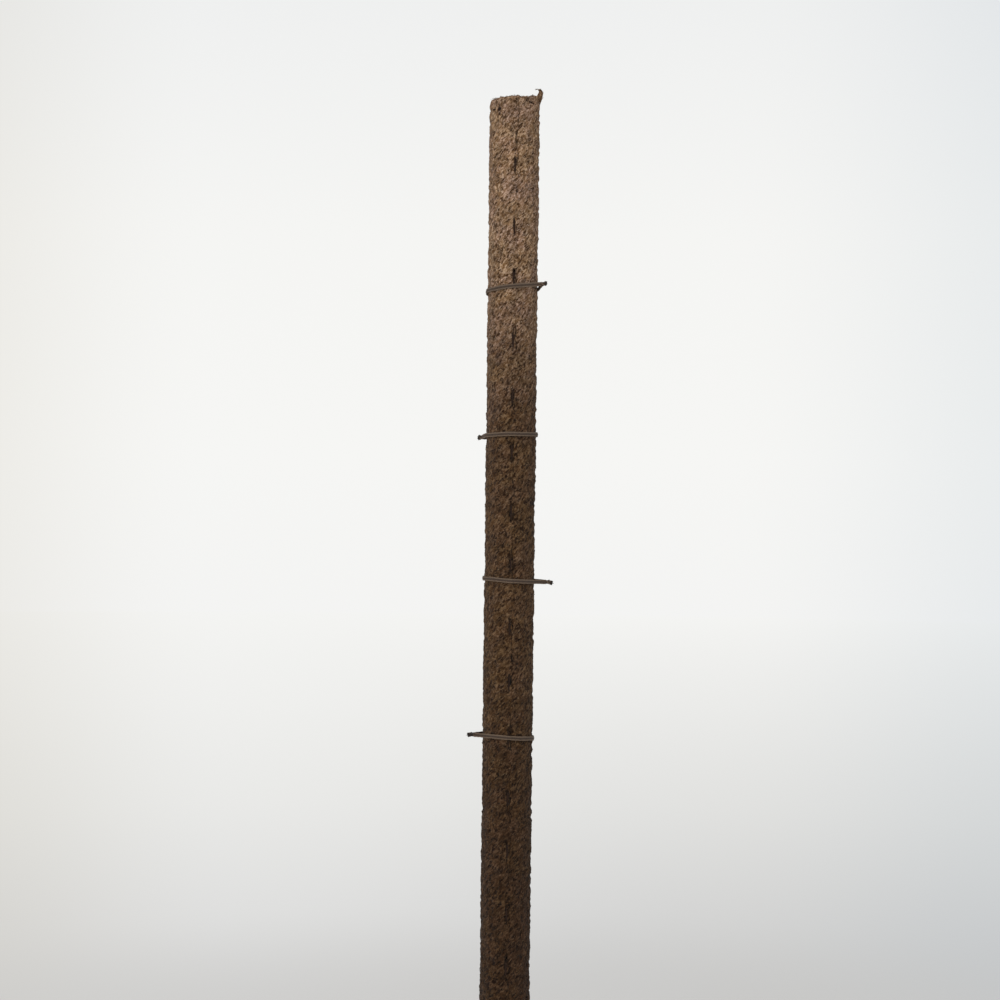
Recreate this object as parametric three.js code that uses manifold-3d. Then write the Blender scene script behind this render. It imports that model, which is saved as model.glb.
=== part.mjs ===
// Plant support pole: a wooden dowel wrapped in one coir felt mat that laps over itself down the
// front and is stapled there, with wire-cored ties looped round it that hold the climbing stems.
// Millimetres, +Z up. The origin is the middle of the stake's blunt tip and the seam faces -Y.

import * as THREE from 'three';
import { mergeVertices } from 'three/addons/utils/BufferGeometryUtils.js';
import Module from 'manifold-3d';

const wasm = await Module();
wasm.setup();

const degree = Math.PI / 180;
const fullTurn = 2 * Math.PI;

// Whole pole
const poleLength = 800;
const fitClearance = 0.3;
const cutOverrun = 3;

// Wooden dowel: turned down to a blunt tip at the bottom, chamfered at the top
const dowelDiameter = 25;
const dowelRecess = 1.5;
const dowelChamfer = 1.2;
const dowelSides = 32;
const tipDiameter = 8;
const tipTaper = 34;
const tipShoulder = 7;
const tipShoulderShare = 0.93;

// Coir felt mat: an angle along the mat is measured from the front, rightwards
const matThickness = 6;
const bareStake = 118;
const lapGap = 0.5;
const matStart = -48 * degree;
const matEnd = 368.5 * degree;
const matStep = 9 * degree;
const startFeather = 70 * degree;
const startShare = 0.35;
const endFeather = 98 * degree;
const endShare = 0.22;
const lapClimb = 40 * degree;
const matEdgeRound = 1.8;
const matEdgeInsetShare = 0.24;
const matEdgeSteps = 3;

// Torn tuft that stands up at the right of the mat's top edge
const tuftAngle = 82 * degree;
const tuftRoot = 6;
const tuftRise = 7.8;
const tuftLean = 4.1;
const tuftWidth = 5.6;
const tuftThickness = 5.2;
const tuftTipShare = 0.25;
const tuftSides = 8;
const tuftSteps = 6;

// Flat wire staples
const stapleCrown = 10;
const stapleLeg = 12.5;
const stapleWidth = 1.2;
const stapleThickness = 0.7;
const stapleBend = 0.9;
const stapleBendSteps = 2;
const stapleChisel = 1.6;
const stapleChiselShare = 0.2;
const stapleSink = 0.9;

// Seam staples, crown upright, down the front of the lap
const seamAngle = 2 * degree;
const seamTopInset = 52;
const seamPitch = 42.5;
const seamBottomInset = 18;
const seamDriftShares = [0, 0.06, -0.03, 0.07, 0.03];
const slitLength = 15;
const slitWidth = 2.6;
const slitSteps = 7;

// Edge staples, crown level, round the mat's top and bottom edges
const edgeStapleCount = 3;
const edgeStapleInset = 9.5;
const topEdgeAngle = -45 * degree;
const bottomEdgeAngle = 60 * degree;

// Wire-cored ties: a flat strip with a ridge over the wire, its ends twisted together
const tieWidth = 3.2;
const tieEdge = 0.35;
const tieRidge = 0.9;
const tieRidgeWidth = 1.2;
const tieClearance = 0.5;
const tieStepAngle = 10 * degree;
const stemDiameter = 6.5;
const twistStandOff = 0.9;
const twistGap = 0.35;
const tailLength = 5;
const tailTurns = 0.5;
const tailSteps = 9;
const tieTopInset = 143;
const tiePitch = 111;
const tieDriftShares = [0, -0.02, -0.045, 0.01];
const tieTurns = [52 * degree, -128 * degree, 90 * degree, -64 * degree];
const tieSlopeShares = [0.12, -0.04, -0.05, 0.07];

// Colours and finishes
const feltFinish = { color: 0x6b5648, roughness: 1, metalness: 0 };
const woodFinish = { color: 0xb4946a, roughness: 0.75, metalness: 0 };
const stapleFinish = { color: 0x7a6a5e, roughness: 0.5, metalness: 0.85 };
const tieFinish = { color: 0x5a463c, roughness: 0.6, metalness: 0 };

const dowelRadius = dowelDiameter / 2;
const boreRadius = dowelRadius + fitClearance;
const dowelTop = poleLength - dowelRecess;

// Shared helpers

function clamp01(value) {
  return Math.min(1, Math.max(0, value));
}

function around(radius, angle, height) {
  return new THREE.Vector3(radius * Math.sin(angle), -radius * Math.cos(angle), height);
}

function fanFaces(count) {
  return Array.from({ length: count - 2 }, (_, i) => [0, i + 1, i + 2]);
}

// Joins rings of points into one closed skin. The rings turn anticlockwise seen from the far end.
function loft(rings, capFaces) {
  const count = rings[0].length;
  const index = [];
  for (let low = 0; low < (rings.length - 1) * count; low += count) {
    const high = low + count;
    for (let i = 0; i < count; i += 1) {
      const next = (i + 1) % count;
      index.push(low + i, low + next, high + next);
      index.push(low + i, high + next, high + i);
    }
  }
  const last = (rings.length - 1) * count;
  for (const [a, b, c] of capFaces) {
    index.push(c, b, a);
    index.push(last + a, last + b, last + c);
  }
  const geometry = new THREE.BufferGeometry().setFromPoints(rings.flat());
  geometry.setIndex(index);
  return geometry;
}

function toSolid(geometry) {
  const bare = geometry.clone();
  bare.deleteAttribute('normal');
  bare.deleteAttribute('uv');
  const merged = mergeVertices(bare);
  return new wasm.Manifold(
    new wasm.Mesh({
      numProp: 3,
      vertProperties: new Float32Array(merged.attributes.position.array),
      triVerts: new Uint32Array(merged.index.array),
    }),
  );
}

function toGeometry(solid) {
  const mesh = solid.getMesh();
  const geometry = new THREE.BufferGeometry();
  geometry.setAttribute('position', new THREE.BufferAttribute(mesh.vertProperties, 3));
  geometry.setIndex(new THREE.BufferAttribute(mesh.triVerts, 1));
  return geometry;
}

function cutAll(geometry, cutters) {
  const solid = cutters.reduce((body, cutter) => body.subtract(toSolid(cutter)), toSolid(geometry));
  return toGeometry(solid);
}

function namedMesh(name, geometry, finish) {
  geometry.computeVertexNormals();
  const mesh = new THREE.Mesh(geometry, new THREE.MeshStandardMaterial(finish));
  mesh.name = name;
  return mesh;
}

// Felt mat section

// The mat thins towards both of its ends, so that the lap stays low.
function matThicknessAt(turn) {
  const fromStart = clamp01((turn - matStart) / startFeather);
  const fromEnd = clamp01((matEnd - turn) / endFeather);
  const start = startShare + (1 - startShare) * fromStart;
  const end = endShare + (1 - endShare) * fromEnd;
  return matThickness * start * end;
}

// The mat lies on the dowel for one turn, then climbs on to its own start.
function matInsideAt(turn) {
  const below = Math.max(turn - fullTurn, matStart);
  const climb = clamp01((turn - matStart - fullTurn + lapClimb) / lapClimb);
  return boreRadius + climb * (matThicknessAt(below) + lapGap);
}

function matOutsideAt(turn) {
  return matInsideAt(turn) + matThicknessAt(turn);
}

// Radius of the felt's face at an angle round the pole, on the lap where there is one.
function feltRadiusAt(angle) {
  let turn = angle;
  while (turn + fullTurn <= matEnd) {
    turn += fullTurn;
  }
  while (turn > matEnd) {
    turn -= fullTurn;
  }
  return matOutsideAt(turn);
}

function matTurns() {
  const steps = Math.round((matEnd - matStart) / matStep);
  return Array.from({ length: steps + 1 }, (_, i) => matStart + ((matEnd - matStart) * i) / steps);
}

function matRing(height, insetShare) {
  const turns = matTurns();
  const outside = turns.map((turn) => {
    return around(matOutsideAt(turn) - insetShare * matThicknessAt(turn), turn, height);
  });
  const inside = turns.map((turn) => {
    return around(matInsideAt(turn) + insetShare * matThicknessAt(turn), turn, height);
  });
  return [...outside, ...inside.reverse()];
}

// Rings of the mat from its bottom edge to its top edge, each edge rounded off.
function matRings() {
  const rings = [];
  for (let step = 0; step <= matEdgeSteps; step += 1) {
    const swing = (Math.PI / 2) * (step / matEdgeSteps);
    const rise = matEdgeRound * (1 - Math.cos(swing));
    const inset = matEdgeInsetShare * (1 - Math.sin(swing));
    rings.push({ height: bareStake + rise, inset });
    rings.push({ height: poleLength - rise, inset });
  }
  rings.sort((a, b) => a.height - b.height);
  return rings.map((ring) => matRing(ring.height, ring.inset));
}

// A horn of torn felt, rooted in the mat and leaning outwards above its top edge.
function tuftGeometry() {
  const rootRadius = feltRadiusAt(tuftAngle) - tuftThickness / 2 - fitClearance;
  const rings = [];
  for (let step = 0; step <= tuftSteps; step += 1) {
    const climb = step / tuftSteps;
    const size = 1 - (1 - tuftTipShare) * climb;
    const lean = tuftLean * Math.sin((Math.PI / 2) * climb);
    const height = poleLength - tuftRoot + climb * (tuftRoot + tuftRise);
    const centre = around(rootRadius + lean, tuftAngle, height);
    const outwards = around(1, tuftAngle, 0);
    const along = new THREE.Vector3(-outwards.y, outwards.x, 0);
    const ring = [];
    for (let side = 0; side < tuftSides; side += 1) {
      const swing = (fullTurn * side) / tuftSides;
      const point = centre.clone();
      point.addScaledVector(outwards, (size * tuftThickness * Math.cos(swing)) / 2);
      point.addScaledVector(along, (size * tuftWidth * Math.sin(swing)) / 2);
      ring.push(point);
    }
    rings.push(ring);
  }
  return loft(rings, fanFaces(tuftSides));
}

// Staples

function staplePath() {
  const half = stapleCrown / 2;
  const points = [new THREE.Vector3(0, stapleLeg, -half)];
  points.push(new THREE.Vector3(0, stapleLeg - stapleChisel, -half));
  for (let step = 0; step <= stapleBendSteps; step += 1) {
    const swing = (Math.PI / 2) * (step / stapleBendSteps);
    const away = stapleBend * (1 - Math.sin(swing));
    const along = stapleBend * (1 - Math.cos(swing));
    points.push(new THREE.Vector3(0, away, along - half));
  }
  const mirrored = points.map((p) => new THREE.Vector3(p.x, p.y, -p.z)).reverse();
  return [...points, ...mirrored];
}

// The crown stands along Z at y = 0 and the legs point along +Y.
function stapleGeometry() {
  const path = staplePath();
  const across = new THREE.Vector3(1, 0, 0);
  const rings = path.map((point, i) => {
    const ahead = path[Math.min(i + 1, path.length - 1)];
    const behind = path[Math.max(i - 1, 0)];
    const travel = ahead.clone().sub(behind).normalize();
    const side = new THREE.Vector3().crossVectors(travel, across);
    const isTip = i === 0 || i === path.length - 1;
    const thickness = (stapleThickness / 2) * (isTip ? stapleChiselShare : 1);
    const corners = [[1, -1], [1, 1], [-1, 1], [-1, -1]];
    return corners.map(([a, b]) => {
      const corner = point.clone().addScaledVector(across, (a * stapleWidth) / 2);
      return corner.addScaledVector(side, b * thickness);
    });
  });
  return loft(rings, fanFaces(4));
}

// A long oval slit, opened by the crown where it pulls the felt in.
function slitGeometry() {
  const shape = new THREE.Shape();
  shape.absellipse(0, 0, slitWidth / 2, slitLength / 2, 0, fullTurn);
  const below = stapleThickness / 2 + fitClearance;
  const depth = below + stapleThickness / 2 + stapleSink + cutOverrun;
  const slit = new THREE.ExtrudeGeometry(shape, {
    depth,
    bevelEnabled: false,
    curveSegments: slitSteps,
  });
  slit.rotateX(Math.PI / 2);
  slit.translate(0, below, 0);
  return slit;
}

// Clear room for one leg, from the crown to past the leg's tip.
function legTunnel(side) {
  const length = stapleLeg + fitClearance;
  const tunnel = new THREE.BoxGeometry(
    stapleWidth + 2 * fitClearance,
    length,
    stapleThickness + 2 * fitClearance,
  );
  tunnel.translate(0, length / 2, (side * stapleCrown) / 2);
  return tunnel;
}

function stapleMesh(name, angle, height, crownTilt) {
  const mesh = namedMesh(name, stapleGeometry(), stapleFinish);
  const crownRadius = feltRadiusAt(angle) - stapleSink - stapleThickness / 2;
  mesh.position.copy(around(crownRadius, angle, height));
  mesh.rotation.set(0, crownTilt, angle, 'ZYX');
  mesh.updateMatrix();
  return mesh;
}

function seamStaples() {
  const staples = [];
  const lowest = bareStake + seamBottomInset;
  for (let i = 0; poleLength - seamTopInset - i * seamPitch >= lowest; i += 1) {
    const drift = seamPitch * seamDriftShares[i % seamDriftShares.length];
    const height = poleLength - seamTopInset - i * seamPitch - drift;
    const name = `seam_staple_${String(i + 1).padStart(2, '0')}`;
    staples.push(stapleMesh(name, seamAngle, height, 0));
  }
  return staples;
}

function edgeStaples(prefix, firstAngle, height) {
  return Array.from({ length: edgeStapleCount }, (_, i) => {
    const angle = firstAngle + (fullTurn * i) / edgeStapleCount;
    return stapleMesh(`${prefix}_staple_${i + 1}`, angle, height, Math.PI / 2);
  });
}

function cutFor(staples, shapes) {
  return staples.flatMap((staple) => shapes.map((shape) => shape.clone().applyMatrix4(staple.matrix)));
}

// Dowel

function dowelMesh(staples) {
  const profile = [
    [0, 0],
    [tipDiameter / 2, 0],
    [dowelRadius * tipShoulderShare, tipTaper - tipShoulder],
    [dowelRadius, tipTaper],
    [dowelRadius, dowelTop - dowelChamfer],
    [dowelRadius - dowelChamfer, dowelTop],
    [0, dowelTop],
  ].map(([radius, height]) => new THREE.Vector2(radius, height));
  const turned = new THREE.LatheGeometry(profile, dowelSides);
  turned.rotateX(Math.PI / 2);
  const sockets = cutFor(staples, [legTunnel(-1), legTunnel(1)]);
  return namedMesh('dowel_core', cutAll(turned, sockets), woodFinish);
}

// Felt

function feltMesh(staples) {
  const rings = matRings();
  const plan = rings[0].map((point) => new THREE.Vector2(point.x, point.y));
  const rolled = loft(rings, THREE.ShapeUtils.triangulateShape(plan, []));
  const withTuft = toGeometry(toSolid(rolled).add(toSolid(tuftGeometry())));
  const cuts = cutFor(staples, [slitGeometry(), legTunnel(-1), legTunnel(1)]);
  return namedMesh('coir_felt_wrap', cutAll(withTuft, cuts), feltFinish);
}

// Ties

// Points that a taut tie has to clear in plan: the felt, the stem beside it and its own twist.
function tieObstacles(outwards, turn, twistRadius, stemRadius) {
  const stand = tieClearance + tieRidge / 2;
  const points = [outwards.clone().multiplyScalar(twistRadius)];
  const stemReach = stemDiameter / 2 + fitClearance + tieRidge / 2;
  for (let swing = 0; swing < fullTurn; swing += tieStepAngle / 2) {
    points.push(around(feltRadiusAt(turn + swing) + stand, turn + swing, 0));
    points.push(around(stemReach, swing, 0).addScaledVector(outwards, stemRadius));
  }
  return points;
}

// The tie touches the outline at its furthest point in each direction, which gives its own line.
function tautLine(points, turn) {
  const line = [];
  for (let swing = tieStepAngle; swing < fullTurn; swing += tieStepAngle) {
    const facing = around(1, turn + swing, 0);
    const furthest = points.reduce((best, p) => (p.dot(facing) > best.dot(facing) ? p : best));
    if (furthest !== points[0] && furthest !== line[line.length - 1]) {
      line.push(furthest);
    }
  }
  return line;
}

function tieSection(centre, thicknessWay, widthWay) {
  const ridge = tieRidge / 2;
  const edge = tieEdge / 2;
  const narrow = tieRidgeWidth / 2;
  const wide = tieWidth / 2;
  const half = [[ridge, -narrow], [ridge, narrow], [edge, wide], [-edge, wide]];
  const outline = [...half, ...half.map(([a, b]) => [-a, -b])];
  return outline.map(([a, b]) => {
    return centre.clone().addScaledVector(thicknessWay, a).addScaledVector(widthWay, b);
  });
}

// Rings of one end's tail, from the twist outwards. The two ends wind round each other.
function tailRings(twist, outwards, side) {
  const up = new THREE.Vector3(0, 0, 1);
  const across = new THREE.Vector3().crossVectors(up, outwards);
  const offset = (tieRidge + twistGap) / 2;
  const rings = [];
  for (let step = 0; step <= tailSteps; step += 1) {
    const swing = fullTurn * tailTurns * (step / tailSteps);
    const thicknessWay = across.clone().multiplyScalar(side * Math.cos(swing));
    thicknessWay.addScaledVector(up, side * Math.sin(swing));
    const centre = twist.clone().addScaledVector(outwards, (tailLength * step) / tailSteps);
    centre.addScaledVector(thicknessWay, offset);
    const widthWay = new THREE.Vector3().crossVectors(thicknessWay, outwards);
    widthWay.multiplyScalar(side);
    rings.push(tieSection(centre, thicknessWay, widthWay));
  }
  return rings;
}

function tieGeometry(turn, slopeShare) {
  const outwards = around(1, turn, 0);
  const stemRadius = feltRadiusAt(turn) + fitClearance + stemDiameter / 2;
  const twistRadius = stemRadius + stemDiameter / 2 + tieRidge + twistStandOff;
  const line = tautLine(tieObstacles(outwards, turn, twistRadius, stemRadius), turn);
  const up = new THREE.Vector3(0, 0, 1);
  const loop = line.map((point, i) => {
    const ahead = line[Math.min(i + 1, line.length - 1)];
    const behind = line[Math.max(i - 1, 0)];
    const travel = ahead.clone().sub(behind).normalize();
    return tieSection(point, new THREE.Vector3().crossVectors(travel, up), up.clone().negate());
  });
  const twist = outwards.clone().multiplyScalar(twistRadius);
  const leading = tailRings(twist, outwards, 1).reverse();
  const trailing = tailRings(twist, outwards, -1);
  const rings = [...leading, ...loop, ...trailing];
  for (const point of rings.flat()) {
    point.z += slopeShare * point.dot(outwards);
  }
  return loft(rings, fanFaces(rings[0].length));
}

function wireTies() {
  return tieTurns.map((turn, i) => {
    const mesh = namedMesh(`wire_tie_${i + 1}`, tieGeometry(turn, tieSlopeShares[i]), tieFinish);
    const drift = tiePitch * tieDriftShares[i];
    mesh.position.z = poleLength - tieTopInset - i * tiePitch - drift;
    return mesh;
  });
}

function supportPole() {
  const staples = [
    ...edgeStaples('top', topEdgeAngle, poleLength - edgeStapleInset),
    ...seamStaples(),
    ...edgeStaples('bottom', bottomEdgeAngle, bareStake + edgeStapleInset),
  ];
  const pole = new THREE.Group();
  pole.add(dowelMesh(staples), feltMesh(staples), ...staples, ...wireTies());
  return pole;
}

export default supportPole();
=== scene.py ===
"""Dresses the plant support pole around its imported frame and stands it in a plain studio.

The coir felt mat is one thick sheet with its lap, its stapled slits and a torn tuft, and loose coir
lies on it. The stake inside is turned wood, the staples are rusty wire, and each tie is a paper strip
pressed over a thin wire. An angle is measured from the front of the pole, rightwards, and a turn is an
angle along the mat, which goes round more than once. Sizes are in metres.
"""

import logging
from collections.abc import Sequence
from dataclasses import dataclass
from enum import Enum
from math import cos, pi, radians, sin, tau
from typing import Self

import bpy
import numpy as np
from mathutils import Matrix, Vector, noise


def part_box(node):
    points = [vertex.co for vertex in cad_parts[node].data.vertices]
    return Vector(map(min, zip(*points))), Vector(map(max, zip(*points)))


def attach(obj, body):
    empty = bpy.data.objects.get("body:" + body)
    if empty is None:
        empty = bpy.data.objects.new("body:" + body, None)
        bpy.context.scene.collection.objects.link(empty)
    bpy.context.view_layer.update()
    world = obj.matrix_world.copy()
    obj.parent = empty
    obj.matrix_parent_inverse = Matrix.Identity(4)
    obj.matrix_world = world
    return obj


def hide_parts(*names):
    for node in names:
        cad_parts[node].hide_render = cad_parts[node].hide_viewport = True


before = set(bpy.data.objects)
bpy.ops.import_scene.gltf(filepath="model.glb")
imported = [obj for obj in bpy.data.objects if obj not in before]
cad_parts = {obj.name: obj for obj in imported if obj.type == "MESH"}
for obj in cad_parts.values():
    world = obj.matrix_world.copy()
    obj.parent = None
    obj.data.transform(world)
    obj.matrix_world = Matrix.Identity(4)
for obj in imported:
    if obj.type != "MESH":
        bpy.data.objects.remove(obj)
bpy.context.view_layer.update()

MM = 0.001
POLE_BODY = "pole"
FIBRE_LEAN = radians(52)
MAT_RADIUS = 18 * MM
# Each tie's angle in degrees, its slope, and its drift down the pole as a share of the pitch
TIE_PLACES = ((52, 0.12, 0), (-128, -0.04, -0.02), (90, -0.05, -0.045), (-64, 0.07, 0.01))
UP = np.array([0.0, 0.0, 1.0])

log = logging.getLogger("support_pole")

Colour = tuple[float, float, float]
Entry = "Sock | float | Sequence[float]"


class Slot(str, Enum):
    """The record's material slots that the pieces take their finish from."""

    WOOD = "wood"
    FELT = "coir_felt"
    WIRE = "staple_wire"
    TIE = "tie_strip"


class StapleRow(str, Enum):
    """The rows of staples, by the start of their nodes' names."""

    TOP = "top_staple"
    SEAM = "seam_staple"
    BOTTOM = "bottom_staple"


class Lay(Enum):
    """How a loose fibre lies: pressed flat, arched up in the middle, or with one end free."""

    FLAT = 0
    ARCHED = 1
    FREE = 2


def linear(red: int, green: int, blue: int) -> Colour:
    """Turns a screen's red, green and blue, from 0 to 255, into the light values a shader takes."""
    shares = [value / 255 for value in (red, green, blue)]
    return tuple(s / 12.92 if s <= 0.04045 else ((s + 0.055) / 1.055) ** 2.4 for s in shares)


def around(radius: np.ndarray, angle: np.ndarray, height: np.ndarray) -> np.ndarray:
    """Places points by their distances from the pole's axis, their angles and their heights."""
    radius, angle, height = np.broadcast_arrays(radius, angle, height)
    return np.stack([radius * np.sin(angle), -radius * np.cos(angle), height], axis=-1)


def angle_of(points: np.ndarray) -> np.ndarray:
    """The angles of points from the front, rightwards."""
    return np.arctan2(points[..., 0], -points[..., 1])


def radius_of(points: np.ndarray) -> np.ndarray:
    """The distances of points from the pole's axis."""
    return np.hypot(points[..., 0], points[..., 1])


def turned_from(mark: float, angle: np.ndarray) -> np.ndarray:
    """How far angles lie from a mark the shorter way round, rightwards."""
    return (angle - mark + pi) % tau - pi


def ring_angles(sides: int) -> np.ndarray:
    """Even angles, once round."""
    return np.linspace(0, tau, sides, endpoint=False)


def bell(value: np.ndarray, width: float) -> np.ndarray:
    """A bump that is 1 at 0 and has fallen to about a third at width."""
    return np.exp(-(value / width) ** 2)


def smooth(value: np.ndarray, low: float, high: float) -> np.ndarray:
    """Eases from 0 at low to 1 at high."""
    share = np.clip((value - low) / (high - low), 0, 1)
    return share * share * (3 - 2 * share)


def unit(vectors: np.ndarray) -> np.ndarray:
    """Scales vectors to a length of 1."""
    return vectors / np.maximum(np.linalg.norm(vectors, axis=-1, keepdims=True), 1e-12)


def travel_along(lines: np.ndarray) -> np.ndarray:
    """Finds the way that lines of points go.

    Args:
        lines: The lines, with each one's points in order.

    Returns:
        The direction at each point.
    """
    ahead = np.concatenate([lines[..., 1:, :], lines[..., -1:, :]], axis=-2)
    behind = np.concatenate([lines[..., :1, :], lines[..., :-1, :]], axis=-2)
    return unit(ahead - behind)


def read_line(line: np.ndarray, marks: np.ndarray, places: np.ndarray) -> np.ndarray:
    """Reads points off a line at places, where marks are the places of its own points."""
    return np.stack([np.interp(places, marks, line[:, axis]) for axis in range(3)], axis=-1)


def field_noise(points: np.ndarray, size: float, shift: float = 0) -> np.ndarray:
    """Smooth noise at points, about -1 to 1, in swells of one size. A shift gives other noise."""
    flat = (points.reshape(-1, 3) / size + shift).tolist()
    return np.array([noise.noise(place) for place in flat]).reshape(points.shape[:-1])


def pit_noise(points: np.ndarray, size: float, share: float) -> np.ndarray:
    """Depths, 0 to 1, of round pits that lie about size apart and reach out a share of size."""
    near = [noise.voronoi(place)[0][0] for place in (points / size).tolist()]
    return 1 - smooth(np.array(near), 0, share)


class Sock:
    """A socket in a shader, on which Python's operators add nodes.

    Values go through Math nodes, vectors through Vector Math and colours through Mix.
    """

    def __init__(self, shader: "Shader", socket: bpy.types.NodeSocket) -> None:
        """Wraps an output socket of one of the shader's nodes."""
        self.shader = shader
        self.socket = socket

    @property
    def kind(self) -> str:
        """The socket's type, such as VALUE, VECTOR or RGBA."""
        return self.socket.type

    def _join(self, operation: str, other: Entry, reflected: bool = False) -> Self:
        """Adds the node for one operation.

        Args:
            operation: The operation, such as ADD.
            other: The entry that it joins to this socket.
            reflected: Whether that entry comes first.

        Returns:
            The result.
        """
        pair = (other, self) if reflected else (self, other)
        kinds = {entry.kind for entry in pair if isinstance(entry, Sock)}
        if "RGBA" in kinds:
            return self.shader.mix(1.0, *pair, operation)
        kind = "ShaderNodeVectorMath" if "VECTOR" in kinds else "ShaderNodeMath"
        return self.shader.node(kind, {"operation": operation}, dict(enumerate(pair)))

    def __add__(self, other: Entry) -> Self:
        """self + other."""
        return self._join("ADD", other)

    def __radd__(self, other: Entry) -> Self:
        """other + self."""
        return self._join("ADD", other, reflected=True)

    def __sub__(self, other: Entry) -> Self:
        """self - other."""
        return self._join("SUBTRACT", other)

    def __rsub__(self, other: Entry) -> Self:
        """other - self."""
        return self._join("SUBTRACT", other, reflected=True)

    def __mul__(self, other: Entry) -> Self:
        """self * other."""
        return self._join("MULTIPLY", other)

    def __rmul__(self, other: Entry) -> Self:
        """other * self."""
        return self._join("MULTIPLY", other, reflected=True)

    def __truediv__(self, other: Entry) -> Self:
        """self / other."""
        return self._join("DIVIDE", other)

    def __pow__(self, other: Entry) -> Self:
        """self ** other, on values."""
        return self.shader.math("POWER", self, other)

    def between(self, low: float, high: float) -> Self:
        """Eases this value from 0 at low to 1 at high."""
        ends = {"From Min": low, "From Max": high, "Value": self}
        return self.shader.node("ShaderNodeMapRange", {"interpolation_type": "SMOOTHSTEP"}, ends)

    def choose(self, low: Entry, high: Entry) -> Self:
        """Mixes two colours, with this value as the second one's share."""
        return self.shader.mix(self, low, high)


class Shader:
    """A material or a world under construction, one node at a time."""

    def __init__(self, tree: bpy.types.NodeTree) -> None:
        """Empties the node tree and keeps it."""
        self.tree = tree
        tree.nodes.clear()

    @classmethod
    def for_material(cls, name: str) -> tuple[Self, bpy.types.Material]:
        """Makes a new material and its shader.

        Args:
            name: The material's name.

        Returns:
            The shader and the material.
        """
        material = bpy.data.materials.new(name)
        material.use_nodes = True
        return cls(material.node_tree), material

    def node(self, kind: str, settings: dict | None = None, entries: dict | None = None,
             output: str | None = None) -> Sock:
        """Adds a node, sets it and links it.

        Args:
            kind: The node's type.
            settings: Its own settings, which are set first. stops holds a ramp's places and colours.
            entries: Values or sockets by the name or the number of the input that they go to.
            output: The name of the output that is used, or None for the first that is on.

        Returns:
            The output.
        """
        made = self.tree.nodes.new(kind)
        for name, value in (settings or {}).items():
            if name == "stops":
                self._set_stops(made.color_ramp, value)
            else:
                setattr(made, name, value)
        for key, value in (entries or {}).items():
            named = (s for s in made.inputs if s.enabled and s.name == key)
            self.enter(made.inputs[key] if isinstance(key, int) else next(named), value)
        shown = [s for s in made.outputs if s.enabled]
        chosen = next((s for s in shown if s.name == output), shown[0] if shown else None)
        return Sock(self, chosen)

    @staticmethod
    def _set_stops(ramp: bpy.types.ColorRamp, stops: Sequence[tuple[float, Colour]]) -> None:
        """Gives a ramp its stops.

        Args:
            ramp: The ramp.
            stops: Its places, from 0 to 1, each with a colour.
        """
        while len(ramp.elements) < len(stops):
            ramp.elements.new(1)
        for element, (place, colour) in zip(ramp.elements, stops):
            element.position = place
            element.color = (*colour, 1)

    def enter(self, socket: bpy.types.NodeSocket, value: Entry) -> None:
        """Links or sets one input.

        Args:
            socket: The input.
            value: A socket to link, or a value to set.
        """
        if isinstance(value, Sock):
            self.tree.links.new(value.socket, socket)
        elif socket.type == "RGBA":
            shades = (value, value, value) if isinstance(value, (int, float)) else value
            socket.default_value = (*shades, 1)
        elif socket.type == "VECTOR" and isinstance(value, (int, float)):
            socket.default_value = (value, value, value)
        else:
            socket.default_value = value

    def math(self, operation: str, *entries: Entry) -> Sock:
        """The value that a Math node makes of its entries."""
        return self.node("ShaderNodeMath", {"operation": operation}, dict(enumerate(entries)))

    def mix(self, share: Entry, low: Entry, high: Entry, blend: str = "MIX") -> Sock:
        """Mixes two colours, where share is how much of the blended one shows, from 0 to 1."""
        settings = {"data_type": "RGBA", "blend_type": blend}
        return self.node("ShaderNodeMix", settings, {"Factor": share, "A": low, "B": high})

    def place(self) -> Sock:
        """The point on the piece, in the frame's own axes."""
        return self.node("ShaderNodeTexCoord", output="Object")

    def part(self, at: Sock, axis: str) -> Sock:
        """One part of a place, X, Y or Z."""
        return self.node("ShaderNodeSeparateXYZ", {}, {"Vector": at}, axis)

    def length(self, at: Sock) -> Sock:
        """The distance of a place from the origin."""
        return self.node("ShaderNodeVectorMath", {"operation": "LENGTH"}, {"Vector": at})

    def ramp(self, share: Sock, stops: Sequence[tuple[float, Colour]]) -> Sock:
        """The colour at a share of the way along a ramp."""
        return self.node("ShaderNodeValToRGB", {"stops": stops}, {"Fac": share})

    def fade(self, value: Sock, stops: Sequence[tuple[float, Colour]]) -> Sock:
        """Reads a colour off a ramp that may start and end anywhere.

        Args:
            value: The place on the ramp.
            stops: The ramp's places and colours, the lowest first.

        Returns:
            The colour.
        """
        first, last = stops[0][0], stops[-1][0]
        shares = [((place - first) / (last - first), colour) for place, colour in stops]
        return self.ramp((value - first) / (last - first), shares)

    def mixed(self, share: Sock, low: Sock, high: Sock) -> Sock:
        """Two shaders, with share of the second one."""
        return self.node("ShaderNodeMixShader", {}, {"Fac": share, 1: low, 2: high})

    def unrolled(self, lean: float, stretch: float) -> Sock:
        """The place on the mat as if it lay flat, drawn out along the way that its fibres lean.

        Args:
            lean: The angle between that way and the mat's lower edge.
            stretch: How much longer than wide a round pattern gets.

        Returns:
            The place, first along the fibres, then through the mat and across the fibres.
        """
        at = self.place()
        reach = (self.part(at, "X") ** 2 + self.part(at, "Y") ** 2) ** 0.5
        ends = {"X": self.stored("rolled_out"), "Y": reach, "Z": self.part(at, "Z")}
        flat = self.node("ShaderNodeCombineXYZ", {}, ends)
        turned = {"Vector": flat, "Rotation": (0, -lean, 0), "Scale": (stretch, 1, 1)}
        return self.node("ShaderNodeMapping", {"vector_type": "TEXTURE"}, turned)

    def stored(self, name: str) -> Sock:
        """A value that the piece's mesh carries."""
        return self.node("ShaderNodeAttribute", {"attribute_name": name}, output="Fac")

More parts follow.
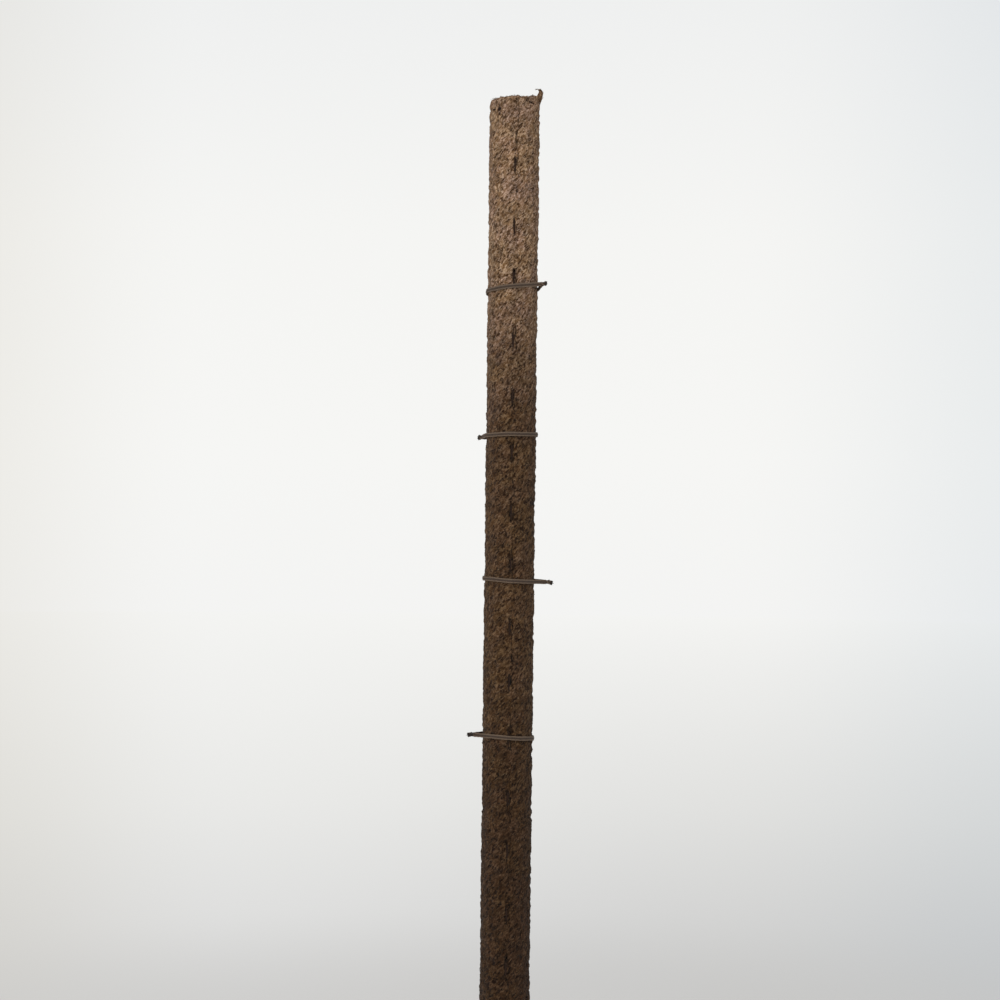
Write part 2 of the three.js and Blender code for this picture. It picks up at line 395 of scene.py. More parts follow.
    def grain(self, at: Sock, size: float, detail: float = 3, rough: float = 0.5,
              output: str | None = None) -> Sock:
        """Noise in swells of one size, about 0.5 on average. The output Color has three values."""
        entries = {"Vector": at, "Scale": 1 / size, "Detail": detail, "Roughness": rough}
        return self.node("ShaderNodeTexNoise", {"noise_dimensions": "3D"}, entries, output)

    def bump(self, height: Sock, depth: float, strength: float = 1, below: Sock | None = None) -> Sock:
        """Adds a Bump node.

        Args:
            height: The height, from 0 to 1.
            depth: The height's real size.
            strength: How much of it shows.
            below: A bump that this one lies on.

        Returns:
            The normal.
        """
        entries = {"Height": height, "Distance": depth, "Strength": strength}
        if below is not None:
            entries["Normal"] = below
        return self.node("ShaderNodeBump", {}, entries)

    def surface(self, entries: dict) -> None:
        """Ends a material in one principled shader, with entries by the name of their input."""
        shader = self.node("ShaderNodeBsdfPrincipled", {}, entries)
        self.node("ShaderNodeOutputMaterial", {}, {"Surface": shader})


@dataclass(frozen=True)
class DampAndShade:
    """How the coir darkens towards the bottom, partly damp from the soil and partly painted shade of leaves.

    Each band has the height below which it is full, the height above which it ends, and its tint.
    """

    bands: tuple[tuple[float, float, Colour], ...] = (
        (0.52, 0.71, (0.34, 0.3, 0.235)), (0.18, 0.46, (0.55, 0.51, 0.48)))
    patch: float = 42 * MM
    spread: float = 0.1

    def over(self, shader: Shader, at: Sock, colour: Sock) -> Sock:
        """Darkens a colour by the height of the place that it is on.

        Args:
            shader: The material's shader.
            at: The place.
            colour: The dry colour.

        Returns:
            The colour, darker where it is low, from damp and painted shade.
        """
        height = shader.part(at, "Z")
        edge = (shader.grain(at, self.patch, rough=0.6) - 0.5) * self.spread
        for full_below, clear_above, tint in self.bands:
            dry_and_unshaded = (height + edge).between(full_below, clear_above)
            colour = (1 - dry_and_unshaded).choose(colour, colour * tint)
        return colour


@dataclass(frozen=True)
class FeltFinish:
    """Needled coir: pale fibre ends and crumbs, with painted shade in the pits between them, and darker low
    down from damp and painted shade.
    """

    # pit, shade and slit are painted shade, in the gaps between fibres, where they lie low and where the
    # felt sinks deep; slit also darkens the tuft's tip.
    pit: Colour = linear(58, 36, 16)
    shade: Colour = linear(98, 73, 49)
    body: Colour = linear(130, 104, 80)
    tip: Colour = linear(187, 164, 144)
    plum: Colour = (1.0, 0.95, 1.0)
    rust: Colour = (1.03, 0.98, 0.87)
    slit: Colour = linear(38, 23, 13)
    fibre: float = 1.05 * MM
    strand: float = 1.68 * MM
    fleck: float = 0.945 * MM
    cell: float = 2.2 * MM
    speck: float = 3.4 * MM
    drift: float = 2.1 * MM
    patch: float = 19 * MM
    blot: float = 6 * MM
    fibre_share: float = 0.55
    pit_share: float = 0.85
    fleck_share: float = 0.55
    blot_share: float = 0.42
    sunk_shade_share: float = 0.85
    tip_share: float = 0.92
    stretch: float = 2.2
    fibre_height: float = 0.5
    strand_height: float = 0.3
    pit_drop: float = 0.6
    level_height: float = 0.4
    bump_depth: float = 0.85 * MM
    bump_strength: float = 0.95
    # Darker towards the soil: damp and painted shade.
    damp: DampAndShade = DampAndShade()

    def make(self) -> bpy.types.Material:
        """Builds the felt's material.

        Returns:
            The material.
        """
        shader, material = Shader.for_material("coir_felt")
        at = shader.place()
        drift = shader.grain(at, self.speck, detail=2, output="Color") - 0.5
        bent = shader.unrolled(FIBRE_LEAN, self.stretch) + drift * self.drift
        grains = shader.grain(bent, self.fibre, rough=0.62)
        strands = shader.grain(bent, self.strand, rough=0.6)
        entries = {"Vector": bent, "Scale": 1 / self.cell}
        cells = shader.node("ShaderNodeTexVoronoi", {"feature": "F1"}, entries, "Distance")
        # Short pits between the fibres, painted dark as shade and sunk by the bump.
        pits = 1 - (cells + (grains - 0.5)).between(0.2, 0.46)
        level = grains.between(0.28, 0.72) * self.fibre_share
        level = level + strands.between(0.3, 0.7) * (1 - self.fibre_share)
        # Darker where the fibres lie lower, as painted shade.
        stops = [(0.0, self.pit), (0.26, self.shade), (0.55, self.body), (1.0, self.tip)]
        colour = shader.ramp(level, stops)
        colour = (pits * self.pit_share).choose(colour, self.pit)
        flecks = shader.grain(bent, self.fleck, detail=1).between(0.58, 0.68)
        colour = (flecks * self.fleck_share).choose(colour, self.tip)
        hue = shader.grain(at, self.patch, rough=0.6).between(0.38, 0.62)
        colour = colour * hue.choose(self.plum, self.rust)
        blots = shader.grain(bent, self.blot, detail=2).between(0.32, 0.68)
        colour = colour * (blots * self.blot_share + (1 - self.blot_share / 2))
        # Painted shade where the felt sinks deep: slits, holes, the crease and the deepest pits.
        sunk = 1 - shader.stored("relief").between(0.08, 0.56)
        colour = (sunk * self.sunk_shade_share).choose(colour, self.slit)
        # Darker towards the soil, from damp and painted shade.
        colour = self.damp.over(shader, at, colour)
        # The tuft's dark tip, with painted shade in its hollows.
        colour = (shader.stored("dark_tip") * self.tip_share).choose(colour, self.slit)
        height = grains * self.fibre_height + strands * self.strand_height
        height = height - pits * self.pit_drop + self.level_height
        normal = shader.bump(height, self.bump_depth, self.bump_strength)
        shader.surface({"Base Color": colour, "Roughness": 0.97, "Specular IOR Level": 0.06,
                        "Sheen Weight": 0.05, "Sheen Roughness": 0.6, "Normal": normal})
        return material


@dataclass(frozen=True)
class StrandFinish:
    """Loose coir: stiff brown hairs and crumbs, each a little lighter or redder than the next."""

    dark: Colour = linear(76, 49, 28)
    middle: Colour = linear(138, 110, 84)
    pale: Colour = linear(198, 175, 152)
    fleck: float = 2 * MM
    tint_share: float = 0.8
    fleck_share: float = 0.4
    darker: float = 0.1
    damp: DampAndShade = DampAndShade()

    def make(self) -> bpy.types.Material:
        """Builds the loose coir's material.

        Returns:
            The material.
        """
        shader, material = Shader.for_material("coir_strand")
        at = shader.place()
        flecks = shader.grain(at, self.fleck, detail=2, rough=0.6) * self.fleck_share
        level = shader.stored("tint") * self.tint_share + flecks - self.darker
        stops = [(0.0, self.dark), (0.5, self.middle), (1.0, self.pale)]
        # Darker towards the soil: damp and painted shade.
        colour = self.damp.over(shader, at, shader.ramp(level, stops))
        shader.surface({"Base Color": colour, "Roughness": 0.8, "Specular IOR Level": 0.2})
        return material


@dataclass(frozen=True)
class WoodFinish:
    """Turned softwood: rings seen on the ends, streaks along the sides, soil stain near the tip."""

    pale: Colour = linear(203, 172, 126)
    ring: Colour = linear(166, 125, 80)
    streak: Colour = linear(140, 100, 62)
    soil: Colour = linear(78, 61, 46)
    ring_pitch: float = 2.3 * MM
    heart_x: float = 7 * MM
    heart_y: float = 9 * MM
    wander: float = 6.5 * MM
    wander_scale: tuple[float, float, float] = (90, 90, 9)
    pore: float = 0.5 * MM
    pore_scale: tuple[float, float, float] = (1, 1, 0.035)
    pore_depth: float = 0.12 * MM
    ring_depth: float = 0.1 * MM
    tone_size: float = 14 * MM
    tone_scale: tuple[float, float, float] = (1, 1, 0.12)
    smear_size: float = 9 * MM
    smear_scale: tuple[float, float, float] = (1, 1, 0.5)
    soil_top: float = 125 * MM
    soil_spread: float = 160 * MM
    ring_share: float = 0.6
    pore_share: float = 0.34
    tone_share: float = 0.2
    soil_share: float = 0.72

    def make(self) -> bpy.types.Material:
        """Builds the wood's material.

        Returns:
            The material.
        """
        shader, material = Shader.for_material("turned_wood")
        at = shader.place()
        wander = shader.grain(at * self.wander_scale, 1, detail=2, output="Color")
        bent = at + (wander - 0.5) * self.wander
        reach = shader.length((bent + (self.heart_x, self.heart_y, 0)) * (1, 1, 0))
        wave = shader.math("FRACT", reach / self.ring_pitch)
        late = wave.between(0.45, 0.93) * (1 - wave.between(0.95, 1.0))
        pores = shader.grain(at * self.pore_scale, self.pore, detail=4, rough=0.65).between(0.36, 0.7)
        tone = shader.grain(at * self.tone_scale, self.tone_size).between(0.3, 0.7)
        colour = (late * self.ring_share).choose(self.pale, self.ring)
        colour = (pores * self.pore_share).choose(colour, self.streak)
        colour = (tone * self.tone_share).choose(colour, self.ring)
        smear = shader.grain(at * self.smear_scale, self.smear_size, detail=5, rough=0.65)
        mud = 1 - (shader.part(at, "Z") + (smear - 0.5) * self.soil_spread).between(0.0, self.soil_top)
        colour = (mud * self.soil_share).choose(colour, self.soil)
        normal = shader.bump(late, self.ring_depth, 0.5, shader.bump(pores, self.pore_depth, 0.8))
        shader.surface({"Base Color": colour, "Roughness": 0.62 + mud * 0.25,
                        "Specular IOR Level": 0.3, "Normal": normal})
        return material


@dataclass(frozen=True)
class WireFinish:
    """Flat staple wire, steel that has gone brown with rust in the damp felt."""

    steel: Colour = linear(54, 45, 38)
    rust: Colour = linear(50, 33, 23)
    dark: Colour = linear(22, 15, 12)
    spot: float = 1.3 * MM
    flake: float = 0.5 * MM
    scratch: float = 0.22 * MM
    scratch_scale: tuple[float, float, float] = (1, 1, 0.06)
    scratch_height: float = 0.4
    bump_depth: float = 0.1 * MM

    def make(self) -> bpy.types.Material:
        """Builds the staples' material.

        Returns:
            The material.
        """
        shader, material = Shader.for_material("rusty_staple_wire")
        at = shader.place()
        spots = shader.grain(at, self.spot, detail=5, rough=0.7).between(0.24, 0.44)
        flakes = shader.grain(at, self.flake, rough=0.6)
        scratch = shader.grain(at * self.scratch_scale, self.scratch, rough=0.6)
        rust = flakes.between(0.35, 0.7).choose(self.rust, self.dark)
        colour = spots.choose(self.steel, rust)
        height = scratch * self.scratch_height + flakes * spots
        shader.surface({"Base Color": colour, "Metallic": 0.8 - spots * 0.78,
                        "Roughness": 0.45 + spots * 0.45, "Specular IOR Level": 0.2,
                        "Normal": shader.bump(height, self.bump_depth)})
        return material


@dataclass(frozen=True)
class TieFinish:
    """Brown crimped paper over a wire: fine ribs across, wings painted pale as a highlight, the ridge over
    the wire left in the darker body colour as painted shade.
    """

    body: Colour = linear(68, 53, 42)
    worn: Colour = linear(126, 106, 87)
    edge: Colour = linear(58, 45, 35)
    end_shade: Colour = linear(26, 21, 17)
    crimp: float = 0.75 * MM
    fibre: float = 0.6 * MM
    bump_depth: float = 0.2 * MM
    rib_height: float = 0.7
    fibre_height: float = 0.6
    highlight_share: float = 0.75
    edge_share: float = 0.7
    fibre_share: float = 0.5
    rib_share: float = 0.3
    end_shade_share: float = 0.85

    def make(self) -> bpy.types.Material:
        """Builds the ties' material.

        Returns:
            The material.
        """
        shader, material = Shader.for_material("crimped_paper_tie")
        ribs = shader.math("SINE", shader.stored("along") * (tau / self.crimp)) * 0.5 + 0.5
        fibre = shader.grain(shader.place(), self.fibre, detail=5, rough=0.65)
        middle = 1 - shader.math("ABSOLUTE", shader.stored("across"))
        # The flat wings are painted pale as a highlight; the ridge keeps the darker body colour, as painted
        # shade.
        wings = 1 - (middle + (fibre - 0.5) * 0.7).between(0.3, 0.75)
        frayed = 1 - (middle + (fibre - 0.5) * 0.5).between(0.0, 0.2)
        colour = (wings * self.highlight_share).choose(self.body, self.worn)
        colour = (frayed * self.edge_share).choose(colour, self.edge)
        colour = (fibre.between(0.3, 0.7) * self.fibre_share).choose(colour, colour * 0.5)
        colour = (ribs * self.rib_share).choose(colour, colour * 0.6)
        # Painted shade at the cut ends.
        colour = (shader.stored("cut_end") * self.end_shade_share).choose(colour, self.end_shade)
        normal = shader.bump(ribs * self.rib_height + fibre * self.fibre_height, self.bump_depth)
        shader.surface({"Base Color": colour, "Roughness": 0.66, "Specular IOR Level": 0.3,
                        "Normal": normal})
        return material


@dataclass(frozen=True)
class TieWireFinish:
    """The cut end of a tie's wire, bare steel gone dark."""

    steel: Colour = linear(58, 50, 43)
    dull: Colour = linear(34, 27, 22)
    mark: float = 0.15 * MM

    def make(self) -> bpy.types.Material:
        """Builds the wire ends' material.

        Returns:
            The material.
        """
        shader, material = Shader.for_material("tie_wire_end")
        marks = shader.grain(shader.place(), self.mark, rough=0.6).between(0.35, 0.65)
        shader.surface({"Base Color": marks.choose(self.steel, self.dull), "Metallic": 0.7,
                        "Roughness": 0.45 + marks * 0.3})
        return material


@dataclass(frozen=True)
class MatSection:
    """The felt mat seen from above: it goes round the stake once and laps on to its own start."""

    bore: float = 12.8 * MM
    thickness: float = 6 * MM
    start: float = radians(-48)
    end: float = radians(368.5)
    start_feather: float = radians(70)
    start_share: float = 0.35
    end_feather: float = radians(98)
    end_share: float = 0.22
    lap_climb: float = radians(40)
    lap_gap: float = 0.5 * MM

    def thickness_at(self, turn: np.ndarray) -> np.ndarray:
        """The mat's thickness, less towards both of its ends.

        Args:
            turn: Turns.

        Returns:
            The thickness at each turn.
        """
        from_start = np.clip((turn - self.start) / self.start_feather, 0, 1)
        from_end = np.clip((self.end - turn) / self.end_feather, 0, 1)
        start = self.start_share + (1 - self.start_share) * from_start
        return self.thickness * start * (self.end_share + (1 - self.end_share) * from_end)

    def inside_at(self, turn: np.ndarray) -> np.ndarray:
        """The radius of the mat's inner face, which climbs where it laps.

        Args:
            turn: Turns.

        Returns:
            The radius at each turn.
        """
        below = np.maximum(turn - tau, self.start)
        climb = np.clip((turn - self.start - tau + self.lap_climb) / self.lap_climb, 0, 1)
        return self.bore + climb * (self.thickness_at(below) + self.lap_gap)

    def face_at(self, angle: np.ndarray) -> np.ndarray:
        """The radius of the face that shows, on the lap where there is one.

        Args:
            angle: Angles from the front.

        Returns:
            The radius at each angle.
        """
        angle = np.asarray(angle, float)
        turn = angle + tau * np.floor((self.end - angle) / tau)
        return self.inside_at(turn) + self.thickness_at(turn)

    def wrapped_length(self) -> float:
        """The mat's width when it is rolled out flat, along the middle of its thickness.

        Returns:
            The width.
        """
        turns = np.linspace(self.start, self.end, 400)
        middle = self.inside_at(turns) + self.thickness_at(turns) / 2
        steps = np.diff(around(middle, turns, 0), axis=0)
        return float(np.linalg.norm(steps, axis=1).sum())


def store(mesh: bpy.types.Mesh, name: str, values: np.ndarray) -> None:
    """Gives a mesh one value for each of its points, which its material reads."""
    stored = mesh.attributes.new(name, "FLOAT", "POINT")
    stored.data.foreach_set("value", values.astype(np.float32))


class MeshDraft:
    """Points, faces and stored values of one piece while it is being made."""

    def __init__(self) -> None:
        """Starts with nothing."""
        self.points: list[np.ndarray] = []
        self.faces: list[tuple[int, ...]] = []
        self.values: dict[str, list[np.ndarray]] = {}
        self.count = 0

    def add(self, points: np.ndarray, **values: np.ndarray) -> np.ndarray:
        """Adds points.

        Args:
            points: The points, in rows of any shape.
            values: Stored values by name, one for each point or one for all.

        Returns:
            The points' numbers, in the shape that the points came in.
        """
        flat = np.asarray(points, float).reshape(-1, 3)
        self.points.append(flat)
        for name, value in values.items():
            self.values.setdefault(name, []).append(np.broadcast_to(value, flat.shape[0]))
        numbers = np.arange(self.count, self.count + len(flat))
        self.count += len(flat)
        return numbers.reshape(np.shape(points)[:-1])

    def bridge(self, first: np.ndarray, second: np.ndarray) -> None:
        """Fills the strip between two runs of points that start and end side by side.

        Args:
            first: One run's numbers. Seen from outside, the second run is at its left.
            second: The other run's numbers, as many or fewer or more.
        """
        if len(first) == len(second):
            quads = zip(first[:-1], first[1:], second[1:], second[:-1])
            self.faces.extend(tuple(map(int, quad)) for quad in quads)
            return
        here, there = 0, 0
        while here < len(first) - 1 or there < len(second) - 1:
            ahead = (here + 1) * (len(second) - 1) <= (there + 1) * (len(first) - 1)
            if here < len(first) - 1 and (ahead or there == len(second) - 1):
                self.faces.append((int(first[here]), int(first[here + 1]), int(second[there])))
                here += 1
            else:
                self.faces.append((int(first[here]), int(second[there + 1]), int(second[there])))
                there += 1

    def tubes(self, rings: np.ndarray, **values: np.ndarray) -> None:
        """Adds closed tubes with flat ends.

        Args:
            rings: Each tube's rings of points, anticlockwise seen from its far end.
            values: Stored values by name.
        """
        numbers = self.add(rings, **values)
        following = np.roll(numbers, -1, axis=2)
        corners = (numbers[:, :-1], following[:, :-1], following[:, 1:], numbers[:, 1:])
        self.faces.extend(np.stack(corners, axis=-1).reshape(-1, 4).tolist())
        self.faces.extend(numbers[:, 0, ::-1].tolist())
        self.faces.extend(numbers[:, -1].tolist())

    def build(self, name: str, material: bpy.types.Material, shade_angle: float = pi) -> bpy.types.Object:
        """Makes the object.

        Args:
            name: Its name.
            material: Its material.
            shade_angle: An edge that turns further than this stays sharp.

        Returns:
            The object, in the scene.
        """
        mesh = bpy.data.meshes.new(name)
        mesh.from_pydata(np.concatenate(self.points).tolist(), [], self.faces)
        for key, parts in self.values.items():
            store(mesh, key, np.concatenate(parts))
        mesh.validate()
        mesh.materials.append(material)
        mesh.shade_smooth()
        if shade_angle < pi:
            mesh.set_sharp_from_angle(angle=shade_angle)
        made = bpy.data.objects.new(name, mesh)
        bpy.context.scene.collection.objects.link(made)
        return made


def normals_of(piece: bpy.types.Object) -> np.ndarray:
    """Reads the normals of a piece's points.

    Args:
        piece: The piece.

    Returns:
        The normals, one row each.
    """
    values = np.empty(len(piece.data.vertices) * 3, np.float32)
    piece.data.vertex_normals.foreach_get("vector", values)
    return values.reshape(-1, 3).astype(float)


def move_points(piece: bpy.types.Object, points: np.ndarray) -> None:
    """Gives a piece's points their new places, one row each."""
    piece.data.vertices.foreach_set("co", points.astype(np.float32).ravel())
    piece.data.update()


@dataclass(frozen=True)
class Slit:
    """One place where a staple pulls the felt in, read off the staple's own box."""

    angle: float
    height: float
    half_length: float
    upright: bool
    half_width: float
    end: float
    wedge: float

    TALL = 5 * MM
    LEVEL_ASIDE = radians(6)
    LEVEL_HALF_LENGTH = 0.9 * MM
    UPRIGHT_SHAPE = {"half_width": 0.6 * MM, "end": 3.4 * MM, "wedge": 0.42}
    LEVEL_SHAPE = {"half_width": 1.35 * MM, "end": 1.3 * MM, "wedge": 0.0}

    @classmethod
    def under(cls, node: str) -> Self:
        """Finds the slit that holds one staple.

        Args:
            node: The staple's node.

        Returns:
            The slit.
        """
        low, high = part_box(node)
        middle = (low + high) / 2
        angle = float(np.arctan2(middle.x, -middle.y))
        if high.z - low.z > cls.TALL:
            return cls(angle, middle.z, (high.z - low.z) / 2, True, **cls.UPRIGHT_SHAPE)
        return cls(angle + cls.LEVEL_ASIDE, middle.z, cls.LEVEL_HALF_LENGTH, False, **cls.LEVEL_SHAPE)


@dataclass(frozen=True)
class Tuft:
    """The torn horn of felt that stands up from the right of the mat's top edge."""

    angle: float = radians(82)
    root: float = 6 * MM
    rise: float = 7.6 * MM
    lean: float = 4.1 * MM
    lean_power: float = 1.5
    bend: float = 1.5 * MM
    bend_from: float = 0.8
    bend_to: float = 1.08
    inset: float = 0.5 * MM
    width: float = 5.6 * MM
    thickness: float = 5.2 * MM
    tip_share: float = 0.2
    steps: int = 40
    sides: int = 26
    taper: float = 2.2
    rough: float = 0.7 * MM
    rough_size: float = 1.5 * MM
    dark_from: float = 0.66
    pit_shade: float = 0.75
    pit_levels: tuple[float, float] = (0.02, 0.4)
    knot: float = 0.55 * MM
    knot_at: float = 0.93
    knot_reach: float = 0.045
    hook: float = 4 * MM
    hook_count: int = 5
    hook_radius: float = 0.16 * MM

    @property
    def ways(self) -> tuple[np.ndarray, np.ndarray]:
        """The ways outwards from the pole and aside along its face."""
        return around(1, self.angle, 0), around(1, self.angle + pi / 2, 0)

    def line(self, section: MatSection, top: float) -> tuple[np.ndarray, np.ndarray]:
        """The horn's middle line.

        Args:
            section: The mat's section.
            top: The height of the mat's top edge.

        Returns:
            The line's points from the root up, and the share of the way up of each.
        """
        climb = np.linspace(0, 1, self.steps)
        root_radius = float(section.face_at(self.angle)) - self.thickness / 2 - self.inset
        height = top - self.root + climb * (self.root + self.rise)
        lean = self.lean * np.sin(climb * pi / 2) ** self.lean_power
        lean = lean - self.bend * smooth(climb, self.bend_from, self.bend_to)
        return around(root_radius + lean, self.angle, height), climb

    def size_at(self, climb: np.ndarray) -> np.ndarray:
        """Half the horn's thickness at a share of the way up, as a share of the whole at its root."""
        return (1 - (1 - self.tip_share) * climb ** self.taper) / 2

    def add_to(self, draft: MeshDraft, section: MatSection, top: float) -> None:
        """Adds the horn to the mat's mesh.

        Args:
            draft: The mesh.
            section: The mat's section.
            top: The height of the mat's top edge.
        """
        centres, climb = self.line(section, top)
        out, aside = self.ways
        swing = ring_angles(self.sides)[None, :, None]
        tip = self.knot / self.thickness * bell(climb - self.knot_at, self.knot_reach)
        size = (self.size_at(climb) + tip)[:, None, None]
        rings = centres[:, None] + size * self.thickness * np.cos(swing) * out
        rings = rings + size * self.width * np.sin(swing) * aside
        rough = field_noise(rings, self.rough_size, shift=3.3)[..., None]
        rings = rings + unit(rings - centres[:, None]) * rough * self.rough
        rolled_out = angle_of(rings).ravel() * MAT_RADIUS
        dark_tip = np.repeat(smooth(climb, self.dark_from, 1), self.sides)
        # Hollows in the horn's rough face are painted dark as shade.
        dark_tip = np.maximum(dark_tip, self.pit_shade * smooth(-rough.ravel(), *self.pit_levels))
        draft.tubes(rings[None], cover=0.0, rolled_out=rolled_out, dark_tip=dark_tip)


@dataclass
class FeltWrap:
    """The coir felt mat: its rolled faces, its edges, and every dent, slit and hole in them."""

    section: MatSection = MatSection()
    tuft: Tuft = Tuft()
    top: float = 800 * MM
    column: float = 1.0 * MM
    seam_column: float = 0.46 * MM
    seam_reach: float = radians(21)
    under_lap: float = radians(7)
    row: float = 1.06 * MM
    fine_row: float = 0.55 * MM
    fine_reach: float = 2.6 * MM
    fine_top: float = 6.5 * MM
    hidden_columns: int = 20
    hidden_rows: int = 12
    edge_round: float = 2.1 * MM
    edge_inset_share: float = 0.26
    edge_steps: int = 3
    edge_levels: int = 5
    wander: float = 0.7 * MM
    wander_length: float = 60 * MM
    wander_waves: tuple[tuple[float, float], ...] = ((1.0, tau), (0.6, 15.1))
    rag: float = 0.55 * MM
    rag_length: float = 4.2 * MM
    rag_reach: float = radians(14)
    press: float = 0.6 * MM
    press_reach: float = radians(11)
    fill: float = 1.16 * MM
    fill_under: float = 0.42 * MM
    fill_start: float = radians(-4.4)
    fill_full: float = radians(-2.6)
    fill_reach: float = radians(15)
    slit_depth: float = 1.35 * MM
    slit_rag: float = 0.45 * MM
    slit_bridge: float = 0.5
    bridge_rate: float = 1.6
    bridge_shift: float = 0.3
    bridge_levels: tuple[float, float] = (0.05, 0.45)
    slit_run_out: float = 0.9 * MM
    dimple_depth: float = 0.4 * MM
    dimple_width: float = 3.2 * MM
    dimple_share: float = 1.3
    swell: float = 0.4 * MM
    swell_size: float = 42 * MM
    lump: float = 0.3 * MM
    lump_size: float = 8.5 * MM
    ridge: float = 0.8 * MM
    ridge_size: float = 3.0 * MM
    ridge_round: float = 0.4
    ridge_from: float = radians(45)
    ridge_full: float = radians(72)
    knot: float = 0.5 * MM
    knot_size: float = 2.4 * MM
    small_knot_share: float = 0.75
    small_size_share: float = 0.6
    stretch: float = 1.6
    pit: float = 0.75 * MM
    pit_size: float = 3.0 * MM
    pit_share: float = 0.34
    sunk: float = 0.3 * MM
    proud: float = 0.26 * MM
    deepest: float = 1.5 * MM
    rim_drop: float = 0.95 * MM
    rim_drop_angle: float = radians(-72)
    rim_drop_width: float = radians(46)
    rim_lift: float = 0.7 * MM
    rim_lift_angle: float = radians(50)
    rim_lift_width: float = radians(24)
    # Each torn shred's angle in degrees, its rise in mm and its reach in degrees
    rim_shreds: tuple[tuple[float, float, float], ...] = (
        (5, 0.5, 7), (34, 0.5, 4), (52, 1.7, 3.2), (61, 1.1, 3), (71, 2.3, 6))
    rim_wave: float = 0.45 * MM
    rim_wave_length: float = 4.5 * MM
    rim_depth: float = 7 * MM
    shred_depth: float = 2.4 * MM
    sharp_rim_angle: float = radians(84)
    sharp_rim_width: float = radians(40)
    sharp_rim_share: float = 0.55
    # Angles in degrees and heights of the holes, and of the crease's points
    pinholes: tuple[tuple[float, float], ...] = ((-34, 0.5998), (-21, 0.5878), (-5, 0.614), (31, 0.662))
    pinhole_radius: float = 0.95 * MM
    pinhole_depth: float = 1.6 * MM
    pinhole_flat_share: float = 0.2
    crease: tuple[tuple[float, float], ...] = ((24, 0.7965), (38, 0.7961), (46, 0.7955), (58, 0.7941))
    crease_width: float = 0.6 * MM
    crease_depth: float = 1.7 * MM
    crease_end: float = 0.1

    def __post_init__(self) -> None:
        """Reads what the mat's shape follows off the frame, and lays out its columns and rows."""
        self.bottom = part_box("coir_felt_wrap")[0].z
        self.slits = [Slit.under(node) for node in sorted(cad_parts) if "staple" in node]
        self.turns = self.shown_turns()
        self.heights, self.insets = self.rows_through(self.fine_heights())
        self.shown = np.empty((len(self.turns), len(self.heights), 3))

    def shown_turns(self) -> np.ndarray:
        """Places the columns that show, closer together beside the seam.

        Returns:
            Their turns.
        """
        radius = float(self.section.face_at(0.0))
        end = self.section.end
        marks = [end - tau - self.under_lap, end - tau + self.under_lap, end - self.seam_reach, end]
        widths = [self.seam_column, self.column, self.seam_column]
        spans = []
        for low, high, width in zip(marks[:-1], marks[1:], widths):
            count = round((high - low) * radius / width)
            spans.append(np.linspace(low, high, count, endpoint=False))
        return np.append(np.concatenate(spans), end)

    def fine_heights(self) -> np.ndarray:
        """Places the rows between the rounded edges, closer by level staples and the torn top.

        Returns:
            Their heights.
        """
        level = [slit.height for slit in self.slits if not slit.upright]
        heights = [self.bottom + self.edge_round]
        while heights[-1] < self.top - self.edge_round - self.row:
            near = min(abs(heights[-1] - height) for height in level) < self.fine_reach
            near = near or heights[-1] > self.top - self.fine_top
            heights.append(heights[-1] + (self.fine_row if near else self.row))
        return np.array(heights[1:])

    def rows_through(self, middle: np.ndarray) -> tuple[np.ndarray, np.ndarray]:
        """Adds the rows of the rounded edges to the rows between them.

        Args:
            middle: Heights of the rows between the edges.

        Returns:
            Each row's height, and how far its edge is drawn in, as a share of the thickness.
        """
        swing = np.linspace(0, pi / 2, self.edge_steps + 1)
        rise = self.edge_round * (1 - np.cos(swing))
        inset = self.edge_inset_share * (1 - np.sin(swing))
        heights = np.concatenate([self.bottom + rise, middle, (self.top - rise)[::-1]])
        return heights, np.concatenate([inset, np.zeros(len(middle)), inset[::-1]])

    def lay(self, draft: MeshDraft, turn: np.ndarray | float, depth: float, height: np.ndarray,
            inset: np.ndarray | float, cover: float) -> np.ndarray:
        """Adds points of the smooth mat to its mesh.

        Args:
            draft: The mesh.
            turn: Their turns.
            depth: How deep they lie, from 0 on the outer face to 1 on the inner.
            height: Their heights.
            inset: How far the mat's edge is drawn in there, as a share of its thickness.
            cover: 1 where they take the rough felt's relief, or 0.

        Returns:
            The points' numbers.
        """
        inset = inset * self.rim_shape(turn, height)
        share = inset + (1 - 2 * inset) * depth
        end = self.section.end
        radius = self.section.inside_at(turn) + (1 - share) * self.section.thickness_at(turn)
        radius = radius - (1 - share) * self.press * smooth(turn, end - self.press_reach, end)
        waves = [part * np.sin(height / self.wander_length * swing) for part, swing in self.wander_waves]
        wave, torn = sum(waves) * self.wander, self.ragged(height) * self.rag
        past = turn - (end - tau) - (wave + torn) / radius
        full = smooth(past, self.fill_start, self.fill_full)
        rise = self.fill_under + (self.fill - self.fill_under) * full
        radius = radius + (1 - share) * rise * (1 - smooth(past, self.fill_full, self.fill_reach))
        pull = smooth(turn, end - self.seam_reach, end) * wave
        pull = pull + smooth(turn, end - self.rag_reach, end) * torn
        points = around(radius, turn + pull / radius, height - self.rim_fall(turn, height))
        rolled_out = np.broadcast_to(turn * MAT_RADIUS, points.shape[:-1]).ravel()
        return draft.add(points, cover=cover, rolled_out=rolled_out, dark_tip=0.0)

    def ragged(self, height: np.ndarray) -> np.ndarray:
        """How far the torn lap edge strays at each height, from about -1 to 1."""
        return field_noise(np.asarray(height)[..., None] * UP, self.rag_length, shift=7.9)

    def rim_shape(self, turn: np.ndarray, height: np.ndarray) -> np.ndarray:
        """How strongly the mat's edge is rounded, less at the right of its top, where it was torn.

        Args:
            turn: Turns.
            height: Heights.

        Returns:
            A share of the whole rounding for each place.
        """
        sharp = bell(turned_from(self.sharp_rim_angle, turn), self.sharp_rim_width)
        sharp = sharp * (height > (self.top + self.bottom) / 2)
        return 1 - (1 - self.sharp_rim_share) * sharp

